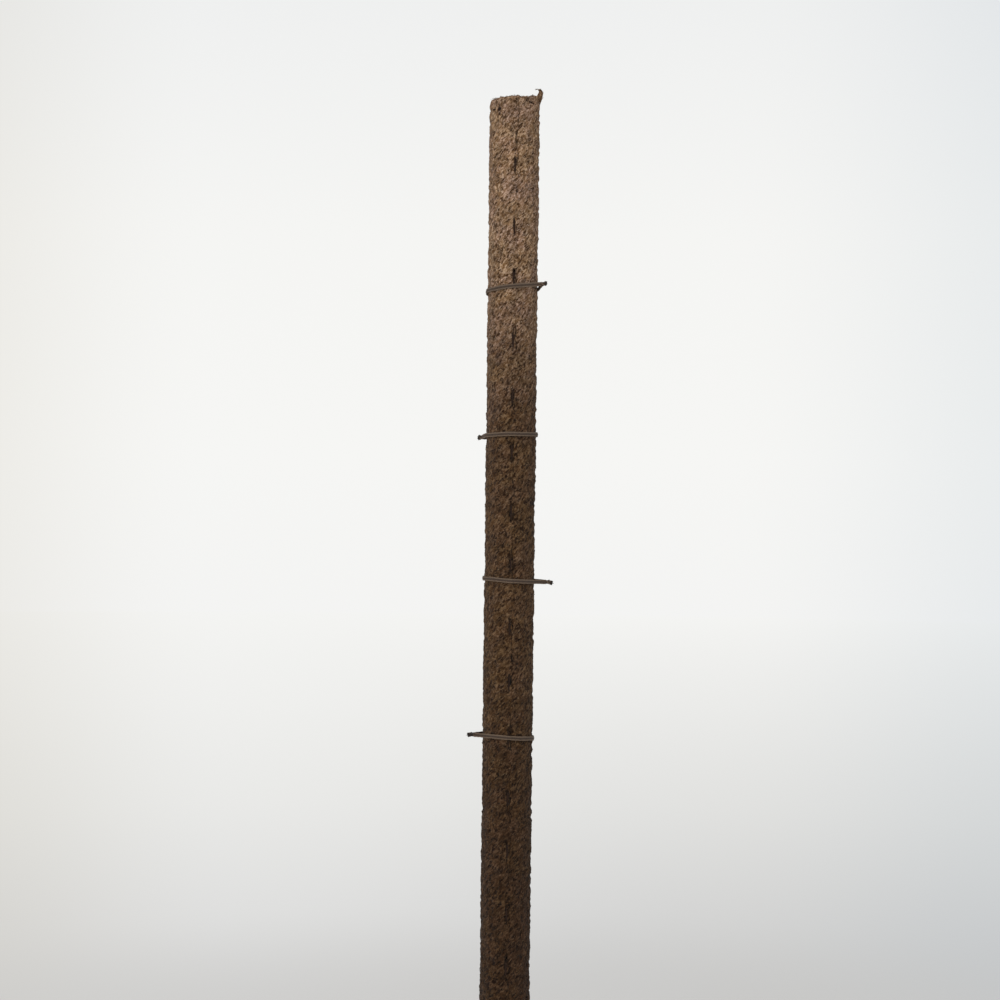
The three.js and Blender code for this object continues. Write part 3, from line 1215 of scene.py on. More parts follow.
    def rim_fall(self, turn: np.ndarray, height: np.ndarray) -> np.ndarray:
        """How far the top edge has sunk where it wore down, most at the left, less than nothing at the
        right.

        Args:
            turn: Turns.
            height: Heights.

        Returns:
            The fall at each place, 0 further down.
        """
        near = smooth(height, self.top - self.rim_depth, self.top)
        low = bell(turned_from(self.rim_drop_angle, turn), self.rim_drop_width)
        high = bell(turned_from(self.rim_lift_angle, turn), self.rim_lift_width)
        ring = around(self.section.bore, turn, self.top)
        uneven = 0.5 + 0.5 * field_noise(ring, self.rim_wave_length, shift=1.9)
        fall = near * (self.rim_drop * low + self.rim_wave * uneven - self.rim_lift * high)
        tips = smooth(height, self.top - self.shred_depth, self.top)
        for degrees, rise, width in self.rim_shreds:
            fall = fall - tips * rise * MM * bell(turned_from(radians(degrees), turn), radians(width))
        return fall

    def draft(self) -> MeshDraft:
        """Lays out the smooth mat, as runs of points up the pole that are joined side by side.

        Returns:
            The mat's mesh.
        """
        draft = MeshDraft()
        mat = self.section
        hidden = np.linspace(self.bottom, self.top, self.hidden_rows + 2)[1:-1]
        fine, coarse = (self.heights, self.insets, 1.0), (*self.rows_through(hidden), 0.0)
        shown = self.lay(draft, self.turns[:, None], 0, *fine)
        levels = np.linspace(0, 1, self.edge_levels + 1)
        edge = [self.lay(draft, mat.end, level, *fine) for level in levels[1:]]
        back = np.linspace(mat.end, mat.start, self.hidden_columns)[1:]
        inner = list(self.lay(draft, back[:, None], 1, *coarse))
        start = [self.lay(draft, mat.start, level, *coarse) for level in levels[-2::-1]]
        under = np.linspace(mat.start, self.turns[0], self.hidden_rows // 2)[1:-1]
        covered = list(self.lay(draft, under[:, None], 0, *coarse))
        runs = [*shown, *edge, *inner, *start, *covered]
        for run, following in zip(runs, runs[1:] + runs[:1]):
            draft.bridge(following, run)
        outer, inner = [start[-1], *covered, *shown], [*inner[::-1], edge[-1]]
        for end in (-1, 0):
            self.close_end(draft, levels, end, outer, inner, start, edge)
        return draft

    def close_end(self, draft: MeshDraft, levels: np.ndarray, end: int, outer: list, inner: list,
                  start: list, edge: list) -> None:
        """Closes the mat's top or bottom edge with runs of points along the mat.

        Args:
            draft: The mesh.
            levels: Depths of the runs, from the outer face to the inner.
            end: Which point of each upright run lies on the edge, -1 at the top and 0 at the bottom.
            outer: The upright runs on the outer face, along the mat.
            inner: The upright runs on the inner face, along the mat.
            start: The upright runs across the mat's start, from the inner face to the outer.
            edge: The upright runs across the mat's lap edge, from the outer face to the inner.
        """
        first = self.section.start
        count = round((self.turns[0] - first) * self.section.bore / self.column)
        turns = np.concatenate([np.linspace(first, self.turns[0], count, endpoint=False), self.turns])
        height = np.full(len(turns) - 2, self.heights[end])
        rows = [np.array([run[end] for run in outer])]
        for number, level in enumerate(levels[1:-1]):
            inside = self.lay(draft, turns[1:-1], level, height, self.edge_inset_share, 1.0)
            rows.append(np.array([start[-2 - number][end], *inside, edge[number][end]]))
        rows.append(np.array([run[end] for run in inner]))
        for row, deeper in zip(rows[:-1], rows[1:]):
            draft.bridge(*((row, deeper) if end else (deeper, row)))

    def slit_depth_at(self, points: np.ndarray) -> np.ndarray:
        """How far the staples, holes and the crease pull the felt in.

        Args:
            points: Points of the smooth mat.

        Returns:
            The depth at each point.
        """
        angle, radius, height = angle_of(points), radius_of(points), points[:, 2]
        depth = np.zeros(len(points))
        torn = self.ragged(height) * self.slit_rag
        crossed = smooth(self.ragged(height * self.bridge_rate + self.bridge_shift), *self.bridge_levels)
        for slit in self.slits:
            side = turned_from(slit.angle, angle) * radius + torn
            rise = height - slit.height
            across, along = (side, rise) if slit.upright else (rise, side)
            wedge = 1 + slit.wedge * np.clip(along / slit.half_length, -1, 1)
            walls = np.exp(-np.abs(across / (wedge * slit.half_width)) ** 3)
            walls = walls * (1 - self.slit_bridge * crossed if slit.upright else 1)
            beyond = np.abs(along) - slit.half_length
            ends = 1 - smooth(beyond, -self.slit_run_out, slit.end)
            bowl = bell(across, self.dimple_width) * bell(along, self.dimple_share * slit.half_length)
            depth = np.maximum(depth, self.slit_depth * walls * ends + self.dimple_depth * bowl)
        for degrees, level in self.pinholes:
            side = turned_from(radians(degrees), angle) * radius
            reach = np.hypot(side, height - level) / self.pinhole_radius
            depth = np.maximum(depth, self.pinhole_depth * (1 - smooth(reach, self.pinhole_flat_share, 1)))
        marks, levels = np.radians([mark[0] for mark in self.crease]), [mark[1] for mark in self.crease]
        fold = bell(height - np.interp(angle, marks, levels), self.crease_width)
        fold = fold * smooth(angle, marks[0], marks[0] + self.crease_end)
        return depth + self.crease_depth * fold * (1 - smooth(angle, marks[-1] - self.crease_end, marks[-1]))

    def relief_at(self, points: np.ndarray, rolled_out: np.ndarray) -> np.ndarray:
        """The height of the rough felt over the smooth mat, never more than proud.

        Args:
            points: Points of the smooth mat.
            rolled_out: How far along the mat each of them is.

        Returns:
            The height at each point.
        """
        along = rolled_out * cos(FIBRE_LEAN) + points[:, 2] * sin(FIBRE_LEAN)
        across = points[:, 2] * cos(FIBRE_LEAN) - rolled_out * sin(FIBRE_LEAN)
        leaning = np.stack([along / self.stretch, radius_of(points), across], axis=1)
        rough = self.swell * field_noise(points, self.swell_size)
        rough += self.lump * field_noise(points, self.lump_size, shift=11.3)
        level = points * (self.ridge_round, self.ridge_round, 1)
        aside = smooth(np.abs(angle_of(points)), self.ridge_from, self.ridge_full)
        rough += self.ridge * aside * field_noise(level, self.ridge_size, shift=17.1)
        rough += self.knot * field_noise(leaning, self.knot_size, shift=5.7)
        small = field_noise(leaning, self.knot_size * self.small_size_share, shift=2.1)
        rough += self.knot * self.small_knot_share * small
        rough -= self.pit * pit_noise(leaning, self.pit_size, self.pit_share)
        return np.minimum(rough - self.sunk, self.proud)

    def make(self, material: bpy.types.Material) -> bpy.types.Object:
        """Builds the mat.

        Args:
            material: The felt's material.

        Returns:
            The mat's piece.
        """
        draft = self.draft()
        self.tuft.add_to(draft, self.section, self.top)
        felt = draft.build("coir_felt_mat", material)
        points = np.concatenate(draft.points)
        covered = np.concatenate(draft.values["cover"]) > 0
        rolled_out = np.concatenate(draft.values["rolled_out"])[covered]
        height = np.zeros(len(points))
        height[covered] = self.relief_at(points[covered], rolled_out) - self.slit_depth_at(points[covered])
        points += normals_of(felt) * height[:, None]
        move_points(felt, points)
        # The felt's material paints shade where this stored relief is low.
        store(felt.data, "relief", smooth(height, -self.deepest, self.proud))
        self.shown = points[:self.shown.shape[0] * self.shown.shape[1]].reshape(self.shown.shape)
        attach(felt, POLE_BODY)
        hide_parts("coir_felt_wrap")
        log.info("felt mat: %d points, %.0f mm wide when rolled out", len(points),
                 self.section.wrapped_length() / MM)
        return felt

    def face_point(self, turn: np.ndarray, height: np.ndarray) -> np.ndarray:
        """Finds points on the rough felt's outer face.

        Args:
            turn: Turns, within the columns that show.
            height: Heights, within the mat's rows.

        Returns:
            The points, one row each.
        """
        column = np.interp(turn, self.turns, np.arange(len(self.turns)))
        row = np.interp(height, self.heights, np.arange(len(self.heights)))
        left = np.minimum(column.astype(int), len(self.turns) - 2)
        low = np.minimum(row.astype(int), len(self.heights) - 2)
        aside, up = (column - left)[..., None], (row - low)[..., None]
        lower = self.shown[left, low] * (1 - aside) + self.shown[left + 1, low] * aside
        upper = self.shown[left, low + 1] * (1 - aside) + self.shown[left + 1, low + 1] * aside
        return lower * (1 - up) + upper * up


@dataclass
class StrandCoat:
    """Loose coir on the felt: short stiff hairs, most of them pressed flat."""

    felt: FeltWrap
    count: int = 4700
    rim_count: int = 420
    tuft_count: int = 150
    knots: int = 6
    sides: int = 3
    shortest: float = 3 * MM
    longest: float = 9 * MM
    thinnest: float = 0.08 * MM
    thickest: float = 0.19 * MM
    taper: float = 0.55
    highest: float = 0.36 * MM
    wiggle: float = 0.26
    heading_spread: float = 0.8
    lap_gap: float = radians(1)
    edge_gap: float = 0.3 * MM
    flat_arch: float = 0.1 * MM
    flat_sunk: float = 0.06 * MM
    arch_low: float = 0.22 * MM
    arch_spread: float = 0.3 * MM
    free_low: float = 0.3 * MM
    free_spread: float = 0.5 * MM
    root_sunk: float = 0.1 * MM
    rim_top_share: float = 0.62
    rim_depths: tuple[float, float] = (0.1, 0.95)
    rim_arch_share: float = 0.8
    rim_sunk: float = 0.45 * MM
    rim_rise: float = 0.45 * MM
    rim_lift: float = 0.35 * MM
    rim_lean: float = 1.3 * MM
    rim_curl: float = 0.24 * MM
    rim_curl_shares: tuple[float, float, float] = (1, 1, 0.25)
    tuft_starts: tuple[float, float] = (0.1, 0.75)
    tuft_lengths: tuple[float, float] = (0.2, 0.5)
    tuft_end: float = 1.04
    tuft_out: float = 0.5 * MM
    tuft_aside: float = 0.4 * MM
    tuft_flare: float = 0.42 * MM
    tuft_swing: float = 2.4
    hook_shares: tuple[float, float] = (0.5, 1)
    hook_sway: float = 0.3 * MM
    tint: float = 0.42
    tint_spread: float = 0.24
    tuft_shade: float = 0.5
    shares: tuple[tuple[Lay, float], ...] = ((Lay.FLAT, 0.83), (Lay.ARCHED, 0.13), (Lay.FREE, 0.04))
    seed: int = 11

    def lifts(self, rng: np.random.Generator) -> np.ndarray:
        """How high each knot of each fibre stands over the felt.

        Args:
            rng: The random numbers.

        Returns:
            A height for each knot, one row for each fibre.
        """
        share = np.linspace(0, 1, self.knots)[None, :]
        draws = rng.random((self.count, 1))
        chosen = rng.choice(len(self.shares), self.count, p=[part for _, part in self.shares])[:, None]
        arch = np.sin(share * pi)
        shapes = {
            Lay.FLAT: self.flat_arch * arch - self.flat_sunk * (1 - draws),
            Lay.ARCHED: (self.arch_low + self.arch_spread * draws) * arch - self.root_sunk,
            Lay.FREE: (self.free_low + self.free_spread * draws) * share ** 2 - self.root_sunk,
        }
        return np.choose(chosen, [shapes[lay] for lay, _ in self.shares])

    def on_face(self, rng: np.random.Generator) -> np.ndarray:
        """Lays the fibres of the outer face.

        Args:
            rng: The random numbers.

        Returns:
            Each fibre's points.
        """
        felt, size = self.felt, (self.count, 1)
        low_turn = felt.section.end - tau + self.lap_gap
        turn = rng.uniform(low_turn, felt.section.end, size)
        height = rng.uniform(felt.bottom, felt.top, size)
        step = rng.uniform(self.shortest, self.longest, size) / (self.knots - 1)
        heading = rng.normal(FIBRE_LEAN, self.heading_spread, size)
        heading = heading + np.cumsum(rng.normal(0, self.wiggle, (self.count, self.knots)), axis=1)
        radius = float(felt.section.face_at(0.0))
        turn = turn + np.cumsum(step * np.cos(heading), axis=1) / radius
        height = height + np.cumsum(step * np.sin(heading), axis=1)
        turn = self.kept_in(turn, low_turn, felt.section.end)
        height = self.kept_in(height, felt.bottom + self.edge_gap, felt.top - self.edge_gap)
        laid = felt.face_point(turn, height) + around(1, turn, 0) * self.lifts(rng)[..., None]
        return self.held_down(laid, self.highest)

    def held_down(self, points: np.ndarray, over: float) -> np.ndarray:
        """Lowers points that stand further over the smooth mat than the ties leave room for.

        Args:
            points: The points.
            over: How far over the mat's face they may stand.

        Returns:
            The points, lowered towards the axis where they stood too high.
        """
        limit = self.felt.section.face_at(angle_of(points)) + over
        shrink = np.minimum(limit / radius_of(points), 1)
        return points * np.stack([shrink, shrink, np.ones_like(shrink)], axis=-1)

    @staticmethod
    def kept_in(values: np.ndarray, low: float, high: float) -> np.ndarray:
        """Shifts each row of values as a whole until it lies between low and high."""
        values = values - np.maximum(values.max(axis=1, keepdims=True) - high, 0)
        return values + np.maximum(low - values.min(axis=1, keepdims=True), 0)

    def on_rims(self, rng: np.random.Generator) -> np.ndarray:
        """Lays the cut fibre ends on the mat's top and bottom edges.

        Args:
            rng: The random numbers.

        Returns:
            Each fibre's points.
        """
        mat, size = self.felt.section, (self.rim_count, 1)
        turn = rng.uniform(mat.start, mat.end, size)
        depth = rng.uniform(*self.rim_depths, size)
        radius = mat.inside_at(turn) + (1 - depth) * mat.thickness_at(turn)
        at_top = rng.random(size) < self.rim_top_share
        edge, sign = np.where(at_top, self.felt.top, self.felt.bottom), np.where(at_top, 1, -1)
        share = np.linspace(0, 1, self.knots)[None, :, None]
        lean = rng.normal(0, self.rim_lean, (*size, 3)) * (1, 1, 0)
        rise = rng.uniform(0, self.rim_rise, (*size, 1))
        curl = rng.normal(0, self.rim_curl, (self.rim_count, self.knots, 3)).cumsum(axis=1)
        curl = curl * self.rim_curl_shares
        start = around(radius, turn, edge - self.rim_sunk * sign - self.felt.rim_fall(turn, edge))
        lift = np.sin(share * pi * self.rim_arch_share) * (rise + self.rim_lift) * sign[..., None]
        return self.held_down(start + (lean + curl) * share + lift * UP, 0.0)

    def on_tuft(self, rng: np.random.Generator) -> np.ndarray:
        """Lays the fibres that the torn horn is made of.

        Args:
            rng: The random numbers.

        Returns:
            Each fibre's points.
        """
        tuft, size = self.felt.tuft, (self.tuft_count, 1)
        line, climb = tuft.line(self.felt.section, self.felt.top)
        out, aside = tuft.ways
        low = rng.uniform(*self.tuft_starts, size)
        high = np.minimum(low + rng.uniform(*self.tuft_lengths, size), self.tuft_end)
        share = low + (high - low) * np.linspace(0, 1, self.knots)[None, :]
        swing = rng.uniform(0, tau, size) + share * self.tuft_swing
        half = tuft.size_at(np.minimum(share, 1))
        reach = (half * (tuft.thickness + self.tuft_out) * np.cos(swing))[..., None] * out
        sweep = (half * (tuft.width + self.tuft_aside) * np.sin(swing))[..., None] * aside
        flare = rng.normal(0, self.tuft_flare, (*size, 3)) * (share - low)[..., None] * 2
        coat = read_line(line, climb, share) + reach + sweep + flare
        back, size = np.linspace(0, 1, self.knots)[None, :, None], (tuft.hook_count, 1)
        sway = rng.normal(0, self.hook_sway, (*size, 3)) * back
        droop = self.hook_sway * (np.sin(back * pi) + rng.uniform(-1, 1, (*size, 1))) * UP
        hooks = line[-1] - out * back * tuft.hook * rng.uniform(*self.hook_shares, (*size, 1))
        return np.concatenate([coat, hooks + sway + droop * back])

    def rings(self, lines: np.ndarray, radius: np.ndarray) -> np.ndarray:
        """Puts a thin tube round each line of points.

        Args:
            lines: The lines, each with as many points.
            radius: Each line's radius.

        Returns:
            The rings of points on each line.
        """
        travel = travel_along(lines)
        out = unit(lines * (1, 1, 0) + (0, 0, 1e-6))
        side = unit(np.cross(travel, out) + (0, 0, 1e-9))
        over = np.cross(side, travel)
        swing = ring_angles(self.sides)[:, None]
        taper = (1 - self.taper * np.abs(np.linspace(-1, 1, self.knots)) ** 3)[None, :, None, None]
        turned = np.cos(swing) * over[:, :, None] + np.sin(swing) * side[:, :, None]
        return lines[:, :, None] + radius[:, None, None, None] * taper * turned

    def make(self, material: bpy.types.Material) -> bpy.types.Object:
        """Builds the loose fibres.

        Args:
            material: The fibres' material.

        Returns:
            Their piece.
        """
        rng = np.random.default_rng(self.seed)
        lines = np.concatenate([self.on_face(rng), self.on_rims(rng), self.on_tuft(rng)])
        radius = rng.uniform(self.thinnest, self.thickest, len(lines))
        radius[-self.felt.tuft.hook_count:] = self.felt.tuft.hook_radius
        tint = np.clip(rng.normal(self.tint, self.tint_spread, len(lines)), 0, 1)
        tint[-self.tuft_count - self.felt.tuft.hook_count:] *= self.tuft_shade
        draft = MeshDraft()
        draft.tubes(self.rings(lines, radius), tint=np.repeat(tint, self.knots * self.sides))
        coat = draft.build("coir_strands", material)
        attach(coat, POLE_BODY)
        log.info("loose coir: %d fibres", len(lines))
        return coat


@dataclass
class CrumbCoat:
    """Crumbs of pith and chopped fibre that stand out of the felt's face."""

    coat: StrandCoat
    count: int = 3600
    shortest: float = 0.35 * MM
    longest: float = 1.05 * MM
    thinnest: float = 0.22 * MM
    thickest: float = 0.46 * MM
    flatness: float = 0.7
    # Places along a crumb, and its girth there, as shares
    shape: tuple[tuple[float, float], ...] = ((-1, 0.35), (-0.45, 0.95), (0.4, 1.0), (1, 0.4))
    sides: int = 5
    jitter: float = 0.2
    seam_gap: float = radians(0.6)
    bottom_gap: float = 1.2 * MM
    top_gap: float = 1.6 * MM
    heading_spread: float = 0.7
    highest: float = 0.38 * MM
    tint: float = 0.46
    tint_spread: float = 0.3
    seed: int = 23

    def make(self, material: bpy.types.Material) -> bpy.types.Object:
        """Builds the crumbs.

        Args:
            material: The loose coir's material.

        Returns:
            Their piece.
        """
        rng = np.random.default_rng(self.seed)
        felt, size = self.coat.felt, (self.count, 1)
        end = felt.section.end
        turn = rng.uniform(end - tau + self.coat.lap_gap, end - self.seam_gap, size)
        height = rng.uniform(felt.bottom + self.bottom_gap, felt.top - self.top_gap, size)
        centre, out = felt.face_point(turn, height), around(1, turn, 0)
        heading = rng.normal(FIBRE_LEAN, self.heading_spread, (*size, 1))
        long_way = np.cos(heading) * around(1, turn + pi / 2, 0) + np.sin(heading) * UP
        cross_way = np.cross(out, long_way)
        half = rng.uniform(self.shortest, self.longest, (*size, 1, 1))
        girth = rng.uniform(self.thinnest, self.thickest, (*size, 1, 1))
        places, sizes = np.array(self.shape).T[:, :, None, None]
        swing = ring_angles(self.sides)[:, None]
        round_way = np.cos(swing) * cross_way[:, None] + self.flatness * np.sin(swing) * out[:, None]
        rings = sizes * girth * round_way
        rings = rings * rng.uniform(1 - self.jitter, 1 + self.jitter, (*rings.shape[:3], 1))
        rings = rings + places * half * long_way[:, None] + centre[:, None]
        tint = np.clip(rng.normal(self.tint, self.tint_spread, self.count), 0, 1)
        draft = MeshDraft()
        draft.tubes(self.coat.held_down(rings, self.highest),
                    tint=np.repeat(tint, len(self.shape) * self.sides))
        crumbs = draft.build("coir_crumbs", material)
        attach(crumbs, POLE_BODY)
        log.info("coir crumbs: %d", self.count)
        return crumbs


@dataclass(frozen=True)
class Dowel:
    """The turned wooden stake inside the felt, bare and blunted at its lower end."""

    radius: float = 12.5 * MM
    tip_radius: float = 4 * MM
    taper: float = 34 * MM
    shoulder: float = 7 * MM
    shoulder_share: float = 0.93
    chamfer: float = 1.2 * MM
    tip_round: float = 0.5 * MM
    heart: float = 0.3 * MM
    ring_step: float = 2 * MM
    shown_past: float = 8 * MM
    shown_top: float = 16 * MM
    hidden_gap: float = 4 * MM
    sides: int = 96
    round_rings: int = 4
    cone_rings: int = 28
    bend_rings: int = 8
    hidden_rings: int = 10
    top_rings: int = 8
    face_rings: int = 9
    sharp: float = radians(50)
    rough: float = 0.09 * MM
    rough_level: float = 0.6
    rough_size: float = 3.5 * MM
    stretch_share: float = 0.12
    face_share: float = 0.9
    tool_mark: float = 0.05 * MM
    tool_pitch: float = 1.9 * MM

    def profile(self, top: float, felt_bottom: float) -> np.ndarray:
        """The stake's radius and height from the middle of its tip up to the middle of its top.

        Args:
            top: The height of its top.
            felt_bottom: The height that it goes into the felt at.

        Returns:
            Rows of radius and height.
        """
        cone_top = self.taper - self.shoulder
        swing = np.linspace(0, pi / 2, self.round_rings)
        cone = np.linspace(self.tip_round, cone_top, self.cone_rings)[1:]
        cone_radius = np.interp(cone, [0, cone_top], [self.tip_radius, self.radius * self.shoulder_share])
        bend = np.linspace(cone_top, self.taper, self.bend_rings)[1:]
        curve = np.sin((bend - bend[0]) / (bend[-1] - bend[0]) * pi / 2)
        bend_radius = self.radius * (self.shoulder_share + (1 - self.shoulder_share) * curve)
        shown_end, hidden_end = felt_bottom + self.shown_past, top - self.shown_top
        hidden = np.linspace(shown_end + self.hidden_gap, hidden_end - self.hidden_gap, self.hidden_rings)
        cut = self.chamfer * np.linspace(0, 1, self.round_rings)[1:]
        runs = [
            (np.linspace(self.heart, self.tip_radius - self.tip_round, self.round_rings)[:-1], 0),
            (self.tip_radius - self.tip_round * (1 - np.sin(swing)), self.tip_round * (1 - np.cos(swing))),
            (cone_radius, cone),
            (bend_radius, bend),
            (self.radius, np.arange(self.taper + self.ring_step, shown_end, self.ring_step)),
            (self.radius, hidden),
            (self.radius, np.linspace(hidden_end, top - self.chamfer, self.top_rings)),
            (self.radius - cut, top - self.chamfer + cut),
            (np.linspace(self.radius - self.chamfer, self.heart, self.face_rings)[1:], top),
        ]
        return np.concatenate([np.stack(np.broadcast_arrays(*run), axis=1) for run in runs])

    def make(self, material: bpy.types.Material) -> bpy.types.Object:
        """Builds the stake.

        Args:
            material: The wood's material.

        Returns:
            Its piece.
        """
        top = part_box("dowel_core")[1].z
        radius, height = self.profile(top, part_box("coir_felt_wrap")[0].z).T[:, :, None]
        points = around(radius, ring_angles(self.sides), height)
        rough = field_noise(points * (1, 1, self.stretch_share), self.rough_size)
        marks = np.sin(height / self.tool_pitch * tau) * (height < self.taper)
        inward = self.rough * (rough - self.rough_level) + self.tool_mark * (marks - 1) / 2
        side = smooth(radius, self.tip_radius, self.radius * self.face_share)
        points = points + unit(points * (1, 1, 0)) * (inward * side)[..., None]
        draft = MeshDraft()
        draft.tubes(points[None])
        stake = draft.build("wooden_stake", material, self.sharp)
        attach(stake, POLE_BODY)
        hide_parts("dowel_core")
        log.info("stake: %.1f mm long", top / MM)
        return stake


@dataclass(frozen=True)
class Staples:
    """The wire staples, which keep their own shapes and get rounded edges and rusty wire."""

    edge: float = 0.14 * MM
    weld: float = 0.01 * MM

    def dress(self, material: bpy.types.Material) -> None:
        """Finishes every staple.

        Args:
            material: The wire's material.
        """
        for row in StapleRow:
            nodes = [name for name in sorted(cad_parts) if name.startswith(row.value)]
            for name in nodes:
                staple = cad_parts[name]
                staple.data.materials.clear()
                staple.data.materials.append(material)
                welded = staple.modifiers.new("welded", "WELD")
                welded.merge_threshold = self.weld
                rounded = staple.modifiers.new("rounded", "BEVEL")
                rounded.width = self.edge
                rounded.segments = 2
                rounded.limit_method = "ANGLE"
            log.info("%s: %d staples", row.value, len(nodes))


@dataclass(frozen=True)
class WireTie:
    """One tie: a strip looped round the felt and a stem, its two ends twisted round each other."""

    number: int
    turn: float
    slope_share: float
    drift_share: float
    felt: MatSection = MatSection()
    pole_top: float = 800 * MM
    top_inset: float = 143 * MM
    pitch: float = 111 * MM
    width: float = 3.2 * MM
    edge: float = 0.35 * MM
    ridge: float = 0.9 * MM
    ridge_width: float = 1.2 * MM
    clearance: float = 0.5 * MM
    fit_clearance: float = 0.3 * MM
    stem: float = 6.5 * MM
    stand_off: float = 0.9 * MM
    twist_gap: float = 0.35 * MM
    tail: float = 5 * MM
    short_share: float = 0.66
    tail_turns: float = 0.5
    splay: float = 0.5
    kick: float = 0.55 * MM
    twist_share: float = 0.5
    crumple: float = 1.2
    crumple_share: float = 0.8
    swelling: float = 0.8
    tail_steps: int = 40
    line_step: float = radians(2.5)
    point_step: float = 0.42 * MM
    crimp: float = 0.75 * MM
    crimp_depth: float = 0.05 * MM
    crimp_fall: float = 0.4
    frill: float = 0.24 * MM
    frill_size: float = 1.7 * MM
    sway: float = 0.26 * MM
    sway_size: float = 7 * MM
    sag: float = 0.45 * MM
    sag_size: float = 16 * MM
    # Painted shade at each cut end: full near the end, fading out further along.
    end_shade_reach: float = 2.4 * MM
    black: float = 1.2 * MM
    sharp: float = radians(60)
    wire: float = 0.25 * MM
    wire_in: float = 0.5 * MM
    wire_out: float = 0.8 * MM
    wire_short_share: float = 0.7
    wire_round_share: float = 0.86
    wire_end_share: float = 0.6
    wire_sides: int = 10
    wire_sharp: float = radians(40)
    # Places across half of the strip's width, from its edge to its middle, as shares
    across_shares: tuple[float, ...] = (1, 0.86, 0.62, 0.4, 0.24, 0.1)

    @property
    def body(self) -> str:
        """The body that the tie moves with."""
        return f"tie_{self.number}"

    @property
    def outwards(self) -> np.ndarray:
        """The direction from the pole's axis to the stem and the twist."""
        return around(1, self.turn, 0)

    def taut_line(self, stem_radius: float, twist_radius: float) -> np.ndarray:
        """The strip's own line in plan, drawn tight round the felt, the stem and the twist.

        Args:
            stem_radius: How far the stem's middle is from the pole's axis.
            twist_radius: How far the twist's middle is from the pole's axis.

        Returns:
            The line's points, from one side of the twist to the other.
        """
        swing = np.arange(0, tau, self.line_step / 2)
        stand = self.clearance + self.ridge / 2
        felt = around(self.felt.face_at(self.turn + swing) + stand, self.turn + swing, 0)
        stem = around(self.stem / 2 + self.fit_clearance + self.ridge / 2, swing, 0)
        twist = (self.outwards * twist_radius)[None]
        points = np.concatenate([twist, felt, stem + self.outwards * stem_radius])
        facing = around(1, self.turn + np.arange(self.line_step, tau, self.line_step), 0)
        furthest = (points @ facing.T).argmax(axis=0)
        kept = [number for number, before in zip(furthest, [0, *furthest[:-1]]) if number not in (0, before)]
        return points[kept]

    def tail_length(self, side: int) -> float:
        """The length of one end past the stem, 1 for the long one and -1 for the short one."""
        return self.tail * (1 if side > 0 else self.short_share)

    def tail_line(self, twist: np.ndarray, side: int) -> tuple[np.ndarray, np.ndarray]:
        """One end of the strip, from the twist outwards.

        Args:
            twist: The twist's middle.
            side: Which end this is, 1 or -1.

        Returns:
            The end's middle line, and the way that its thickness faces.
        """
        share = np.linspace(0, 1, self.tail_steps)[:, None]
        length = self.tail_length(side)
        swing = tau * self.tail_turns * smooth(share * length / self.tail, 0, self.twist_share)
        thick = side * (np.cos(swing) * np.cross(UP, self.outwards) + np.sin(swing) * UP)
        apart = (self.ridge + self.twist_gap) / 2 * (1 + self.splay * share ** 3)
        line = twist + self.outwards * length * share + thick * apart - UP * side * self.kick * share ** 3
        return line, thick

    def spine(self) -> tuple[np.ndarray, np.ndarray]:
        """Joins the loop and the two ends.

        Returns:
            The whole strip's middle line, and the way that its thickness faces.
        """
        stem_radius = float(self.felt.face_at(self.turn)) + self.fit_clearance + self.stem / 2
        twist_radius = stem_radius + self.stem / 2 + self.ridge + self.stand_off
        loop = self.taut_line(stem_radius, twist_radius)
        thick = np.cross(travel_along(loop), UP)
        twist = self.outwards * twist_radius
        leading = [part[::-1] for part in self.tail_line(twist, 1)]
        trailing = self.tail_line(twist, -1)
        return tuple(np.concatenate(part) for part in zip(leading, (loop, thick), trailing))

    def evened(self) -> tuple[np.ndarray, np.ndarray, np.ndarray, np.ndarray]:
        """Takes the strip's spine at even steps and eases its corners.

        Returns:
            The middle line, the ways that the thickness and the width face, and how far along
            the strip each step is.
        """
        line, thick = self.spine()
        along = np.append(0, np.cumsum(np.linalg.norm(np.diff(line, axis=0), axis=1)))
        marks = np.linspace(0, along[-1], round(along[-1] / self.point_step))
        line, thick = (read_line(part, along, marks) for part in (line, thick))
        for part in (line, thick) * 4:
            part[1:-1] = (part[:-2] + 2 * part[1:-1] + part[2:]) / 4
        travel = unit(np.gradient(line, axis=0))
        thick = unit(thick - travel * (thick * travel).sum(axis=1, keepdims=True))
        return line, thick, np.cross(travel, thick), marks

    def strip(self, material: bpy.types.Material) -> bpy.types.Object:
        """Builds the paper strip with the ridge that its wire makes.

        Args:
            material: The paper's material.

        Returns:
            Its piece.
        """
        line, thick, wide, marks = self.evened()
        across = np.append(-np.array(self.across_shares), self.across_shares[::-1])
        hump = bell(across * self.width, self.ridge_width)
        half = (self.edge + (self.ridge - self.edge) * hump) / 2
        thickness, across = np.append(half, -half[::-1]), np.append(across, across[::-1])
        ribs = self.crimp_depth * np.sin(marks / self.crimp * tau)
        from_end = np.minimum(marks, marks[-1] - marks)
        past_twist = [self.tail_length(side) - self.tail * self.twist_share / 2 for side in (1, -1)]
        off = np.minimum(np.abs(marks - past_twist[0]), np.abs(marks[-1] - marks - past_twist[1]))
        crumpled = bell(off, self.crumple_share * self.twist_share * self.tail)[:, None]
        seeds = np.stack([marks, np.full_like(marks, self.turn * MM), marks * 0], axis=1)
        frill = self.frill * field_noise(seeds, self.frill_size)
        sway = self.sway * field_noise(seeds, self.sway_size, shift=4.2)
        sag = self.sag * field_noise(seeds, self.sag_size, shift=8.8) * np.sin(marks / marks[-1] * pi)
        lift = thickness + np.sign(thickness) * ribs[:, None] * (1 - np.abs(across) * self.crimp_fall)
        lift = lift * (1 + crumpled * (self.crumple * np.abs(across) + self.swelling))
        reach = across * (self.width / 2 + frill[:, None])
        rings = line[:, None] + lift[..., None] * thick[:, None] + reach[..., None] * wide[:, None]
